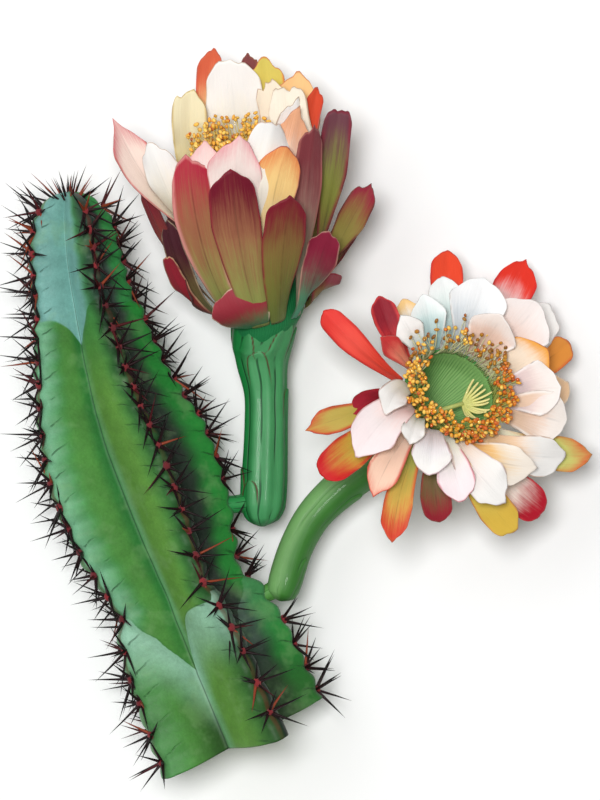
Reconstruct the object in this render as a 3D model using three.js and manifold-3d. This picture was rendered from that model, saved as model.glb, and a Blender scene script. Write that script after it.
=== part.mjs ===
// A cut flowering stem of a five-ribbed cereus cactus with two flowers, lying on a surface.
// Millimetres, +Z up. The stem points along +Y and the flowers stand off its right rib.
import * as THREE from 'three';
import { ParametricGeometry } from 'three/addons/geometries/ParametricGeometry.js';
import { mergeVertices } from 'three/addons/utils/BufferGeometryUtils.js';
import Module from 'manifold-3d';

const wasm = await Module();
wasm.setup();

// Room between neighbouring pieces, and the size below which slivers are smoothed away
const gap = 0.3;
const finestDetail = 0.03;
const beadRadius = 0.22;

// Stem axis from the cut end to the tip
const stemAxis = new THREE.CatmullRomCurve3([
  new THREE.Vector3(-30, -149, 50),
  new THREE.Vector3(-45, -113, 50),
  new THREE.Vector3(-58, -83, 50),
  new THREE.Vector3(-76, -38, 50),
  new THREE.Vector3(-89, -2, 50),
  new THREE.Vector3(-98, 35, 49),
  new THREE.Vector3(-104, 67, 48),
  new THREE.Vector3(-107, 101, 47),
]);
// Rib height from the axis, at places counted from the cut end
const ribStations = [
  [0, 44.2], [39, 42], [56, 38.5], [71, 32.5], [84, 36], [102, 40.3], [122, 42], [140, 42],
  [159, 37.4], [179, 32.4], [197, 28.3], [214, 24.6], [230, 23.4], [244, 21.5],
];
const domeStart = 240;
const ribAngles = [-5, 63, 146, 222, 288];
const grooveShare = 0.43;
// The cut leans: higher places on the section reach further down
const cutLean = 0.23;
const cutLeanLength = 34;
const crestHalfWidth = 4.4;
const crestDrop = 2.4;
const bumpHeight = 1.3;
const ringSpacing = 7;

// Areoles and spines
const areoleSpacingLow = 13;
const areoleSpacingHigh = 8.8;
const areoleJitter = [0.9, 1.1];
const firstAreole = 4;
const areoleStagger = 2.2;
const bareTip = 7;
// The stem lies on its lower spines, which splay along the surface that they meet at this height
const floorHeight = 7;
const spineRootRadius = 0.62;
const spinesPerAreole = 3;
const longSpine = [13, 20];
const shortSpine = [7, 12];
const spineTurnJitter = 40;
const spineLean = [38, 74];
const sink = 1;
const tuft = {
  spines: 18,
  lean: [12, 74],
  spread: 9,
  length: [12, 20],
  rootRadius: 0.5,
  depth: 4,
};
const goldenTurn = 137.5;

// Flower tubes: points of the centre line with the tube's radius there, from the rounded foot up
const sideTubeLine = [
  [-17.5, -53.4, 39, 2.5], [-17.5, -50, 39, 7.4], [-17.3, -44, 38.6, 10.2], [-16.6, -32, 38, 10.5],
  [-16, -12, 37, 9.9], [-16, 8, 36, 9.7], [-17.6, 24, 37, 12], [-16.9, 35, 39, 14.6],
];
const openTubeLine = [
  [-9.5, -87.5, 46, 2.5], [-8.6, -84.5, 46, 6.6], [-6.8, -78, 45.5, 7.9], [-2, -63, 43.5, 7.9],
  [6, -48.5, 41.5, 8.2], [17.5, -36.5, 40.5, 8.8], [30.5, -26, 41.5, 9.5], [43.5, -14.5, 46, 11],
];
// Short necks that join the tubes' feet to the rib
const sideNeck = [[-40, -44, 44, 4.4], [-20, -42, 40, 4.4]];
const openNeck = [[-24, -88, 44, 4.2], [-9, -81, 45, 4.2]];
const grownLines = [sideTubeLine, openTubeLine, sideNeck, openNeck];

// Flower heads: the middle of the rim that carries the outer tepals, where the flower looks,
// and the side of the rim that lies a quarter turn on from +X
const sideHead = {
  centre: new THREE.Vector3(-14.7, 45.5, 42),
  axis: new THREE.Vector3(-0.187, 0.863, 0.469).normalize(),
  quarter: new THREE.Vector3(0, 0, 1),
  rimRadius: 17,
  cupHeight: 34,
  cupRadius: 20,
  throatDepth: 30,
  wall: 2,
};
const openHead = {
  centre: new THREE.Vector3(66, 4, 66),
  axis: new THREE.Vector3(0.375, 0.375, 0.848).normalize(),
  quarter: new THREE.Vector3(0, 1, 0),
  rimRadius: 19,
  cupHeight: 9,
  cupRadius: 23,
  throatDepth: 27,
  wall: 2,
};

// The cup's foot under the rim, and the narrow bottom of its throat
const shaftInset = 1;
const footDepth = 8;
const footInset = 3;
const throatInset = 4;
const throatFootRadius = 4;
const throatFootDrop = 1;
const mouthRoom = 30;

// Where the blades root: out from the cup's wall and up from the rim or the mouth
const outerRoot = { out: 1, height: 2.2 };
const innerRoot = { inset: 0.6, height: 1.8 };
const innerRing = { width: 2, height: 2.8 };

const bladeThickness = 0.75;
const bladeRows = 4;
const bladeColumns = 2;
const bladeTilt = 11;
const rootStep = 0.5;
const bladeCup = 0.2;
const bladeBase = 0.34;
const bladeOpening = 0.95;
const bladeTaper = 0.2;
// Share of the length over which a blade rolls over from its tilt at the root
const rollStart = 0.1;
const rollEnd = 0.7;
// Height of the closing tip in half widths, round and pointed, and how it is cut into rows
const tipHeight = [0.9, 2.2];
const tipShoulder = { place: 0.55, width: [0.89, 0.61] };
const tipEnd = [0.42, 0.05];

// Petals: tip seen from the head's centre, root angle round the rim, width, lift of the root, how
// far the blade has rolled over near its tip, and how pointed the tip is
const sideOuterTepals = [
  { tip: [-36, 72, 58], root: 130, width: 22, lift: 64, turn: 40, point: 0.3 },
  { tip: [-17, 65, 68], root: 98, width: 24, lift: 66, turn: 11, point: 0.15 },
  { tip: [10, 53, 61], root: 72, width: 21, lift: 60, turn: -22, point: 0.15 },
  { tip: [21, 86, 49], root: 36, width: 15, lift: 74, turn: -50, point: 0.35 },
  { tip: [33, 94, 36], root: 10, width: 15, lift: 66, turn: 70, point: 0.05, waist: 2.2 },
  { tip: [48, 60, 26], root: 6, width: 14, lift: 54, turn: 68, point: 0.2, waist: 1.7 },
  { tip: [28, 37, 45], root: 46, width: 16, lift: 48, turn: -55, point: 0.08, waist: 1.3 },
  { tip: [29, 18, 31], root: 16, width: 13, lift: 36, turn: -60, point: 0.1 },
  { tip: [-16, 11, 30], root: 104, width: 30, lift: 26, turn: 25, point: 0.05 },
  { tip: [-46, 26, 36], root: 166, width: 10, lift: 34, turn: 40, point: 0.5 },
  { tip: [-46, 43, 25], root: 156, width: 12, lift: 42, turn: 55, point: 0.5 },
  { tip: [-57.5, 58, 28], root: 174, width: 12, lift: 56, turn: 50, point: 0.6 },
  { tip: [-38, 16, 24], root: 172, width: 10, lift: 26, turn: -35, point: 0.6 },
  { tip: [-50, 60, 4], root: 206, width: 20, lift: 58, turn: 11, point: 0.3 },
  { tip: [-34, 80, -9], root: 236, width: 22, lift: 58, turn: 11, point: 0.3 },
  { tip: [-12, 56, -26], root: 264, width: 20, lift: 36, turn: 11, point: 0.3 },
  { tip: [6, 90, -15], root: 286, width: 22, lift: 58, turn: 11, point: 0.3 },
  { tip: [31, 76, -4], root: 314, width: 22, lift: 58, turn: 11, point: 0.3 },
  { tip: [42, 46, 4], root: 340, width: 19, lift: 38, turn: 11, point: 0.3 },
];
const sideInnerPetals = [
  { tip: [-71, 89, 36], root: 178, width: 19, lift: 54, turn: -45, point: 0.7 },
  { tip: [-54, 78, 46], root: 158, width: 18, lift: 62, turn: 60, point: 0.3 },
  { tip: [-29, 78, 60], root: 126, width: 20, lift: 76, turn: 35, point: 0.5 },
  { tip: [-13, 81, 64], root: 100, width: 26, lift: 78, turn: 5, point: 0.5 },
  { tip: [3, 88, 56], root: 76, width: 24, lift: 76, turn: -35, point: 0.1 },
  { tip: [9, 76, 57], root: 66, width: 22, lift: 74, turn: -45, point: 0.3 },
  { tip: [14.5, 94, 46], root: 48, width: 18, lift: 76, turn: -60, point: 0.5 },
  { tip: [13, 98, 36], root: 26, width: 22, lift: 76, turn: -60, point: 0.1 },
  { tip: [23, 104, 30], root: 12, width: 9, lift: 76, turn: 60, point: 0.7 },
  { tip: [8, 105, 34], root: 4, width: 20, lift: 76, turn: 60, point: 0.1 },
  { tip: [-2, 107, 30], root: -20, width: 18, lift: 74, turn: 50, point: 0.3 },
  { tip: [13, 111, 24], root: -24, width: 24, lift: 74, turn: 45, point: 0.3 },
  { tip: [-2, 118, 16], root: -62, width: 19, lift: 72, turn: 25, point: 0.3 },
  { tip: [-9, 119.5, 13], root: -78, width: 10, lift: 72, turn: 17, point: 0.3 },
  { tip: [-17.5, 117, 19], root: -92, width: 28, lift: 72, turn: 6, point: 0.1 },
  { tip: [-25, 123, 18], root: -120, width: 14, lift: 72, turn: -10, point: 0.7 },
  { tip: [-36, 103, 24], root: -146, width: 18, lift: 70, turn: -30, point: 0.2 },
];
const openOuterTepals = [
  { tip: [-55.5, 42, 20], root: 166, width: 13, lift: 20, turn: -25, point: 0.15 },
  { tip: [-30, 49, 4], root: 142, width: 13, lift: 24, turn: -25, point: 0.3 },
  { tip: [-43, -5, 22], root: 186, width: 12, lift: 14, turn: -5, point: 0.35 },
  { tip: [-64, -13, 28], root: 196, width: 13, lift: 4, turn: -8, point: 0.55 },
  { tip: [-57, -34, 30], root: 212, width: 18, lift: 6, turn: -3, point: 0.1 },
  { tip: [-33, -44, 38], root: 226, width: 16, lift: 20, turn: 8, point: 0.5 },
  { tip: [-24, -64, 30], root: 240, width: 14, lift: 4, turn: 12, point: 0.45 },
  { tip: [-2, -55, 16], root: 258, width: 15, lift: 4, turn: 15, point: 0.05 },
  { tip: [33, -60, 6], root: 286, width: 17, lift: 4, turn: 20, point: 0.25 },
  { tip: [46, -51, -3], root: 304, width: 19, lift: 6, turn: 22, point: 0.1 },
  { tip: [69, -24, -14], root: 330, width: 17, lift: 8, turn: 18, point: 0.6 },
  { tip: [58, 10, -26], root: 0, width: 15, lift: 8, turn: 8, point: 0.3 },
  { tip: [58.5, 28, -33], root: 24, width: 15, lift: 6, turn: 6, point: 0.1 },
  { tip: [50, 45, -34], root: 42, width: 24, lift: 8, turn: 0, point: 0.25 },
  { tip: [39, 67, -38], root: 60, width: 20, lift: 8, turn: -6, point: 0.45 },
  { tip: [2, 71, -28], root: 92, width: 16, lift: 10, turn: -15, point: 0.5 },
  { tip: [-19, 48, -10], root: 118, width: 16, lift: 10, turn: -20, point: 0.5 },
];
const openInnerPetals = [
  { tip: [-29, 29.5, 32], root: 158, width: 11, lift: 36, turn: -25, point: 0.6 },
  { tip: [-27, -6, 38], root: 186, width: 15, lift: 36, turn: 15, point: 0.6 },
  { tip: [-41, -25, 42], root: 204, width: 23, lift: 34, turn: 0, point: 0.35 },
  { tip: [-16, -19, 40], root: 222, width: 12, lift: 44, turn: 15, point: 0.3 },
  { tip: [-7, -34, 38], root: 244, width: 20, lift: 38, turn: 16, point: 0.3 },
  { tip: [9, -46, 31], root: 264, width: 18, lift: 30, turn: 18, point: 0.3 },
  { tip: [28, -46, 24], root: 272, width: 21, lift: 32, turn: 20, point: 0.2 },
  { tip: [43, -30, 16], root: 274, width: 20, lift: 34, turn: 24, point: 0.4 },
  { tip: [57, -25, -2], root: 306, width: 20, lift: 28, turn: 20, point: 0.5 },
  { tip: [57, -10, -2], root: 348, width: 28, lift: 32, turn: 20, point: 0.3 },
  { tip: [54.5, 7, 2], root: 6, width: 28, lift: 38, turn: 16, point: 0.2 },
  { tip: [48, 25, 0], root: 26, width: 30, lift: 36, turn: 10, point: 0.3 },
  { tip: [44, 46, -8], root: 48, width: 32, lift: 30, turn: 0, point: 0.2 },
  { tip: [27, 40, 8], root: 62, width: 28, lift: 44, turn: -5, point: 0.2 },
  { tip: [19, 58, -8], root: 80, width: 30, lift: 36, turn: -12, point: 0.3 },
  { tip: [-1, 59, -8], root: 98, width: 16, lift: 30, turn: -20, point: 0.6 },
  { tip: [-10, 50, 8], root: 116, width: 19, lift: 38, turn: -22, point: 0.5 },
  { tip: [-20, 40, 16], root: 136, width: 15, lift: 40, turn: -25, point: 0.4 },
];

const sideStamens = { count: 24, baseHeight: 28, reach: [9, 19], height: [84, 98], seed: 31 };
const openStamens = { count: 28, baseHeight: 12.5, reach: [20, 28], height: [21, 27], seed: 47 };
const tepalRing = { bottom: 1, top: 4.5, width: 1.7 };
const headSides = 14;
const throatShoulder = 0.6;
const antherRadius = 1.3;
const styleRadius = 1.5;
const lobeRootRadius = 0.8;
const lobeTipRadius = 0.4;
// Styles: foot and top as turn, reach from the axis and height, then the lobes that fan out
const sideStyle = {
  foot: [0, 0, 4.3],
  top: [-20, 1.5, 72],
  lobes: 8,
  fan: 360,
  lobeReach: 4,
  lobeRise: 7,
};
const openStyle = {
  foot: [212, 14.4, -5],
  top: [-6, 8, 4],
  lobes: 12,
  fan: 150,
  lobeReach: 9.5,
  lobeRise: 8.5,
};
const filamentRadius = 0.42;
const filamentTaper = 0.7;
const stamenCollar = { height: 3, width: 1, rootInset: 0.5, rootDepth: 1 };

const radians = THREE.MathUtils.degToRad;
const up = new THREE.Vector3(0, 0, 1);

// Seeded draws, so that every build grows the same plant
function seededRandom(seed) {
  let state = seed;
  return () => {
    state = (state * 16807) % 2147483647;
    return state / 2147483647;
  };
}

function between(random, [low, high]) {
  return low + (high - low) * random();
}

// Turns a closed three.js geometry into a solid with its faces outward
function toSolid(geometry) {
  const bare = geometry.index ? geometry.clone() : mergeVertices(geometry);
  bare.deleteAttribute('normal');
  bare.deleteAttribute('uv');
  const merged = mergeVertices(bare, 1e-3);
  const vertProperties = new Float32Array(merged.attributes.position.array);
  const kept = [];
  const index = merged.index.array;
  for (let i = 0; i < index.length; i += 3) {
    const [a, b, c] = [index[i], index[i + 1], index[i + 2]];
    if (a !== b && b !== c && c !== a) {
      kept.push(a, b, c);
    }
  }
  const triVerts = new Uint32Array(signedVolume(vertProperties, kept) < 0 ? kept.reverse() : kept);
  return new wasm.Manifold(new wasm.Mesh({ numProp: 3, vertProperties, triVerts }));
}

function signedVolume(positions, triangles) {
  const corner = (i) => new THREE.Vector3().fromArray(positions, 3 * triangles[i]);
  let volume = 0;
  for (let i = 0; i < triangles.length; i += 3) {
    volume += corner(i).dot(corner(i + 1).cross(corner(i + 2))) / 6;
  }
  return volume;
}

// Joins solids, keeps the one body that holds together and fills the pinched places on it
function fuse(solids) {
  let body = largestBody(solids);
  for (let round = 0; round < 4; round += 1) {
    const beads = pinchedPlaces(body).map((place) => {
      const bead = new THREE.OctahedronGeometry(beadRadius);
      bead.translate(place.x, place.y, place.z);
      return toSolid(bead);
    });
    if (beads.length === 0) {
      break;
    }
    body = largestBody([body, ...beads]);
  }
  return body;
}

function largestBody(solids) {
  const bodies = wasm.Manifold.union(solids).decompose();
  bodies.sort((a, b) => b.volume() - a.volume());
  return bodies[0].asOriginal().simplify(finestDetail);
}

// Middles of the edges where a surface touches itself, so that more than two faces meet
function pinchedPlaces(solid) {
  const { vertProperties, triVerts } = solid.getMesh();
  const nameOf = (n) => [0, 1, 2].map((axis) => vertProperties[3 * n + axis].toFixed(3)).join(' ');
  const uses = new Map();
  for (let i = 0; i < triVerts.length; i += 1) {
    const next = i % 3 === 2 ? i - 2 : i + 1;
    const [from, to] = [triVerts[i], triVerts[next]];
    const ends = [nameOf(from), nameOf(to)];
    if (ends[0] !== ends[1]) {
      const edge = ends.sort().join(' ');
      uses.set(edge, (uses.get(edge) ?? 0) + 1);
    }
  }
  return [...uses].filter(([, count]) => count > 2).map(([edge]) => {
    const [x0, y0, z0, x1, y1, z1] = edge.split(' ').map(Number);
    return new THREE.Vector3((x0 + x1) / 2, (y0 + y1) / 2, (z0 + z1) / 2);
  });
}

function toMesh(solid, name, colour, roughness) {
  const { vertProperties, triVerts, numProp } = solid.getMesh();
  const positions = [];
  for (let i = 0; i < vertProperties.length; i += numProp) {
    positions.push(vertProperties[i], vertProperties[i + 1], vertProperties[i + 2]);
  }
  const geometry = new THREE.BufferGeometry();
  geometry.setAttribute('position', new THREE.Float32BufferAttribute(positions, 3));
  geometry.setIndex([...triVerts]);
  geometry.computeVertexNormals();
  const material = new THREE.MeshStandardMaterial({ color: colour, roughness, metalness: 0 });
  const mesh = new THREE.Mesh(geometry, material);
  mesh.name = name;
  return mesh;
}

// A closed body whose outline at each share of its length is a loop of points
function loftSolid(loopPoint, around, along) {
  const surface = (u, v, target) => {
    target.copy(loopPoint(Math.round(u * around) % around, v));
  };
  const tube = new ParametricGeometry(surface, around, along);
  const caps = [0, 1].map((end) => {
    const middle = new THREE.Vector3();
    for (let i = 0; i < around; i += 1) {
      middle.addScaledVector(loopPoint(i, end), 1 / around);
    }
    const lid = (u, v, target) => {
      const turn = end ? 1 - u : u;
      target.copy(loopPoint(Math.round(turn * around) % around, end)).lerp(middle, v);
    };
    return new ParametricGeometry(lid, around, 1);
  });
  return joinSurfaces([tube, ...caps]);
}

// Stitches open surfaces that share their edges into one closed solid
function joinSurfaces(surfaces) {
  const positions = [];
  const indices = [];
  for (const [order, surface] of surfaces.entries()) {
    const offset = positions.length / 3;
    positions.push(...surface.attributes.position.array);
    const triangles = [...surface.index.array];
    for (let i = 0; i < triangles.length; i += 3) {
      const [a, b, c] = [triangles[i], triangles[i + 1], triangles[i + 2]];
      indices.push(...(order === 0 ? [a, b, c] : [a, c, b]).map((n) => n + offset));
    }
  }
  const joined = new THREE.BufferGeometry();
  joined.setAttribute('position', new THREE.Float32BufferAttribute(positions, 3));
  joined.setIndex(indices);
  return toSolid(joined);
}

// The stem

const stemLength = stemAxis.getLength();

function ribHeight(s) {
  if (s >= domeStart) {
    const share = Math.min(1, (s - domeStart) / (stemLength - domeStart));
    return ribHeight(domeStart - 0.01) * Math.sqrt(Math.max(0.004, 1 - share * share));
  }
  let i = 1;
  while (i < ribStations.length - 1 && ribStations[i][0] < s) {
    i += 1;
  }
  const [s0, r0] = ribStations[i - 1];
  const [s1, r1] = ribStations[i];
  const share = THREE.MathUtils.clamp((s - s0) / (s1 - s0), 0, 1);
  return r0 + (r1 - r0) * share * share * (3 - 2 * share);
}

// Axis point, and the right and upward directions of the section there
function stemFrame(s) {
  const share = THREE.MathUtils.clamp(s / stemLength, 0, 1);
  const centre = stemAxis.getPointAt(share);
  const tangent = stemAxis.getTangentAt(share);
  const right = tangent.clone().cross(up).normalize();
  const rise = right.clone().cross(tangent);
  return { centre, tangent, right, rise };
}

function stemPoint(s, radius, angle, sideways = 0) {
  const { centre, tangent, right, rise } = stemFrame(s);
  const along = Math.cos(radians(angle));
  const over = Math.sin(radians(angle));
  const height = radius * over + sideways * along;
  const lean = cutLean * Math.max(0, 1 - s / cutLeanLength);
  return centre
    .addScaledVector(right, radius * along - sideways * over)
    .addScaledVector(rise, height)
    .addScaledVector(tangent, -lean * height);
}

function areolePlaces(rib) {
  const random = seededRandom(101 + rib * 17);
  const places = [];
  let s = firstAreole + areoleStagger * ((rib * 3) % ribAngles.length);
  while (s < stemLength - bareTip) {
    places.push(s);
    const share = s / stemLength;
    const spacing = THREE.MathUtils.lerp(areoleSpacingLow, areoleSpacingHigh, share);
    s += spacing * between(random, areoleJitter);
  }
  return places;
}

const areoles = ribAngles.map((angle, rib) => areolePlaces(rib));

// The crest swells between two areoles and dips at each one
function crestDip(rib, s) {
  const nearest = Math.min(...areoles[rib].map((place) => Math.abs(place - s)));
  return bumpHeight * Math.max(0, 1 - nearest / 4);
}

function stemBody(swell = 0) {
  const pointsPerRib = 4;
  const rings = Math.round(stemLength / ringSpacing);
  const around = ribAngles.length * pointsPerRib;
  return loftSolid((i, v) => {
    const rib = Math.floor(i / pointsPerRib);
    const s = v * stemLength;
    const height = ribHeight(s);
    const angle = ribAngles[rib];
    const next = rib + 1 < ribAngles.length ? ribAngles[rib + 1] : ribAngles[0] + 360;
    const half = Math.min(crestHalfWidth, height * 0.2) + swell;
    const drop = Math.min(crestDrop, height * 0.12);
    const crest = height - (height > 12 ? crestDip(rib, s) : 0) + swell;
    const spots = [
      [crest - drop, angle, -half],
      [crest, angle, 0],
      [crest - drop, angle, half],
      [height * grooveShare + swell, (angle + next) / 2, 0],
    ];
    return stemPoint(s, ...spots[i % pointsPerRib]);
  }, around, rings);
}

// A thin three-sided needle from a root inside the plant to its tip
function needle(root, tip, rootRadius, tipRadius = 0) {
  const length = root.distanceTo(tip);
  const cone = new THREE.CylinderGeometry(tipRadius, rootRadius, length, 3, 1);
  cone.translate(0, length / 2, 0);
  const turn = new THREE.Quaternion().setFromUnitVectors(
    new THREE.Vector3(0, 1, 0),
    tip.clone().sub(root).normalize(),
  );
  cone.applyQuaternion(turn);
  cone.translate(root.x, root.y, root.z);
  return toSolid(cone);
}

// Distance from a point to a flower tube's surface, negative inside
function tubeClearance(point, line) {
  const curve = tubeCurve(line);
  let least = Infinity;
  for (let i = 0; i <= 24; i += 1) {
    const share = i / 24;
    least = Math.min(least, curve.getPoint(share).distanceTo(point) - radiusAlong(line, share));
  }
  return least;
}

function tubeCurve(line) {
  return new THREE.CatmullRomCurve3(line.map(([x, y, z]) => new THREE.Vector3(x, y, z)));
}

function radiusAlong(line, share) {
  const place = share * (line.length - 1);
  const i = Math.min(Math.floor(place), line.length - 2);
  return THREE.MathUtils.lerp(line[i][3], line[i + 1][3], place - i);
}

function standsClear(from, to) {
  return [0.35, 0.6, 0.8, 1].every((share) => {
    const point = from.clone().lerp(to, share);
    return grownLines.every((line) => tubeClearance(point, line) > 1);
  });
}

// Spines of one areole, spread round its outward direction and kept off the floor and the tubes
function areoleSpines(centre, outward, along, random) {
  const across = outward.clone().cross(along).normalize();
  const spines = [];
  const turnStart = random() * 360;
  for (let i = 0; i < spinesPerAreole; i += 1) {
    for (let attempt = 0; attempt < 6; attempt += 1) {
      const turn = radians(turnStart + (360 * i) / spinesPerAreole + spineTurnJitter * (random() - 0.5));
      const lean = radians(between(random, spineLean));
      const length = between(random, i < 2 ? longSpine : shortSpine);
      const direction = outward.clone().multiplyScalar(Math.cos(lean))
        .addScaledVector(across, Math.sin(lean) * Math.cos(turn))
        .addScaledVector(along, Math.sin(lean) * Math.sin(turn));
      const tip = centre.clone().addScaledVector(direction, length);
      tip.z = Math.max(tip.z, floorHeight);
      if (standsClear(centre, tip)) {
        const root = centre.clone().addScaledVector(outward, -sink).addScaledVector(direction, sink);
        spines.push(needle(root, tip, spineRootRadius));
        break;
      }
    }
  }
  return spines;
}

function buildStem() {
  const pieces = [stemBody()];
  ribAngles.forEach((angle, rib) => {
    const random = seededRandom(211 + rib * 29);
    for (const s of areoles[rib]) {
      const centre = stemPoint(s, ribHeight(s) - bumpHeight * 0.6, angle);
      const { centre: axisPoint, tangent } = stemFrame(s);
      const outward = centre.clone().sub(axisPoint).normalize();
      if (grownLines.every((line) => tubeClearance(centre, line) > 3)) {
        pieces.push(...areoleSpines(centre, outward, tangent, random));
      }
    }
  });
  pieces.push(...tipTuft());
  return fuse(pieces);
}

// The crowded young spines on the growing tip
function tipTuft() {
  const random = seededRandom(77);
  const { centre, tangent, right, rise } = stemFrame(stemLength);
  const spines = [];
  for (let i = 0; i < tuft.spines; i += 1) {
    const share = i / tuft.spines;
    const turn = radians(i * goldenTurn);
    const lean = radians(tuft.lean[0] + (tuft.lean[1] - tuft.lean[0]) * share);
    const side = right.clone().multiplyScalar(Math.cos(turn)).addScaledVector(rise, Math.sin(turn));
    const direction = tangent.clone()
      .multiplyScalar(Math.cos(lean))
      .addScaledVector(side, Math.sin(lean));
    const root = centre.clone()
      .addScaledVector(tangent, -tuft.depth)
      .addScaledVector(side, tuft.spread * share);
    const tip = root.clone().addScaledVector(direction, between(random, tuft.length));
    spines.push(needle(root, tip, tuft.rootRadius));
  }
  return spines;
}

// The flowers

// Directions of a head's rim plane at no turn and at a quarter turn
function headFrame(head) {
  const side = new THREE.Vector3(1, 0, 0).addScaledVector(head.axis, -head.axis.x).normalize();
  const front = head.axis.clone().cross(side);
  return { side, front: front.dot(head.quarter) < 0 ? front.negate() : front };
}

function rimPoint(head, angle, radius, height) {
  const { side, front } = headFrame(head);
  return head.centre.clone()
    .addScaledVector(side, radius * Math.cos(radians(angle)))
    .addScaledVector(front, radius * Math.sin(radians(angle)))
    .addScaledVector(head.axis, height);
}

// Solid of revolution about a head's axis from its outline of radius and height
function turned(head, outline, sides) {
  const lathe = new THREE.LatheGeometry(outline.map(([r, h]) => new THREE.Vector2(r, h)), sides);
  lathe.applyQuaternion(new THREE.Quaternion().setFromUnitVectors(new THREE.Vector3(0, 1, 0), head.axis));
  lathe.translate(head.centre.x, head.centre.y, head.centre.z);
  return toSolid(lathe);
}

// Radius of the cup's outer and inner wall at a height over the rim
function cupOutside(head, height) {
  const { mapLinear } = THREE.MathUtils;
  return mapLinear(height, 0, head.cupHeight, head.rimRadius, head.cupRadius);
}

function cupInside(head, height) {
  const { mapLinear } = THREE.MathUtils;
  const low = head.cupHeight - head.throatDepth * throatShoulder;
  return mapLinear(height, low, head.cupHeight, head.rimRadius - throatInset, head.cupRadius - head.wall);
}

function buildTube(head, line, neckLine, scales, stemHull) {
  const fullLine = [...line, [...head.centre.toArray(), head.rimRadius - shaftInset]];
  const curve = tubeCurve(fullLine);
  const sides = 10;
  const steps = 12;
  const frames = [];
  for (let i = 0; i <= steps; i += 1) {
    const tangent = curve.getTangent(i / steps);
    const right = tangent.clone().cross(up).normalize();
    frames.push({ right, rise: right.clone().cross(tangent) });
  }
  const shaft = loftSolid((i, v) => {
    const { right, rise } = frames[Math.round(v * steps)];
    const turn = (2 * Math.PI * i) / sides;
    const radius = radiusAlong(fullLine, v);
    return curve.getPoint(v)
      .addScaledVector(right, radius * Math.cos(turn))
      .addScaledVector(rise, radius * Math.sin(turn));
  }, sides, steps);
  const inside = head.cupRadius - head.wall;
  const throatBottom = head.cupHeight - head.throatDepth;
  const throatSide = [
    [head.rimRadius - throatInset, head.cupHeight - head.throatDepth * throatShoulder],
    [inside, head.cupHeight],
  ];
  const cup = turned(head, [
    [0, -footDepth], [head.rimRadius - footInset, -footDepth], [head.rimRadius, 0],
    [head.cupRadius, head.cupHeight], ...[...throatSide].reverse(),
    [throatFootRadius, throatBottom], [0, throatBottom - throatFootDrop],
  ], headSides);
  const hollow = turned(head, [
    [0, throatBottom - throatFootDrop], [throatFootRadius, throatBottom], ...throatSide,
    [inside, head.cupHeight + mouthRoom], [0, head.cupHeight + mouthRoom],
  ], headSides);
  const scalePieces = scales.map(([share, turn, length, width]) => {
    const from = curve.getPoint(share);
    const tangent = curve.getTangent(share);
    const right = tangent.clone().cross(up).normalize();
    const rise = right.clone().cross(tangent);
    const out = right.multiplyScalar(Math.cos(radians(turn)))
      .addScaledVector(rise, Math.sin(radians(turn)));
    const radius = radiusAlong(fullLine, share);
    return tubeScale(from.addScaledVector(out, radius - 0.5), tangent, out, length, width);
  });
  const [neckFrom, neckTo] = neckLine.map(([x, y, z]) => new THREE.Vector3(x, y, z));
  const neck = styleRod(neckFrom, neckTo, neckLine[0][3]);
  const grown = wasm.Manifold.union([shaft, neck, cup, ...scalePieces]);
  return fuse([grown.subtract(hollow).subtract(stemHull)]);
}

// A long low scale that runs down the tube and stands a little off it at its tip
function tubeScale(place, tangent, out, length, width) {
  const across = tangent.clone().cross(out).normalize();
  const rows = 3;
  return loftSolid((i, v) => {
    const spread = (width / 2) * Math.sin(Math.PI * Math.min(0.96, 0.12 + v * 0.8));
    const side = [-1, 0, 1, 0][i];
    const lift = [0, 1.1 + 1.5 * v * v, 0, -1][i] + 0.7 * v * v;
    return place.clone()
      .addScaledVector(tangent, length * (v - 0.5))
      .addScaledVector(across, side * spread)
      .addScaledVector(out, lift);
  }, 4, rows);
}

// Half a blade's width at a share of its length, before the tip closes in
function bladeHalf(spec, share) {
  const open = Math.min(1, bladeBase + bladeOpening * share) ** (spec.waist ?? 1);
  return (spec.width / 2) * open * (1 - bladeTaper * share ** 4);
}

// Shares of the length where a blade's outline is cut, with how much of the width is left there
function bladeOutline(spec, length) {
  const { lerp } = THREE.MathUtils;
  const fall = (bladeHalf(spec, 1) * lerp(...tipHeight, spec.point)) / length;
  const shoulder = lerp(...tipShoulder.width, spec.point);
  return [
    [0, 1], [0.3, 1], [0.62, 1],
    [1 - tipShoulder.place * fall, shoulder],
    [1, lerp(...tipEnd, spec.point)],
  ];
}

// One curved blade from its root on the rim to its tip, its edges cupped towards the flower's middle
function petal(head, spec, rootRadius, rootHeight, swell = 0) {
  const root = rimPoint(head, spec.root, rootRadius, rootHeight);
  const tip = head.centre.clone().add(new THREE.Vector3(...spec.tip));
  const out = rimPoint(head, spec.root, 1, 0).sub(head.centre);
  const start = out.clone().multiplyScalar(Math.cos(radians(spec.lift)))
    .addScaledVector(head.axis, Math.sin(radians(spec.lift)));
  const bend = root.clone().addScaledVector(start, root.distanceTo(tip) * 0.5);
  const line = new THREE.QuadraticBezierCurve3(root, bend, tip);
  const outline = bladeOutline(spec, root.distanceTo(bend) + bend.distanceTo(tip));
  const loop = bladeColumns * 2 + 2;
  return loftSolid((i, v) => {
    const [share, left] = outline[Math.round(v * bladeRows)];
    const point = line.getPoint(share);
    const { sideways, inward } = bladeFrame(head, spec, point, line.getTangent(share), share);
    const column = i <= bladeColumns ? i : loop - 1 - i;
    const face = i <= bladeColumns ? 0.5 : -0.5;
    const across = (2 * column) / bladeColumns - 1;
    const half = bladeHalf(spec, share) * left;
    return point
      .addScaledVector(sideways, across * (half + swell))
      .addScaledVector(inward, face * (bladeThickness + 2 * swell) + bladeCup * half * across * across);
  }, loop, bladeRows);
}

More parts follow.
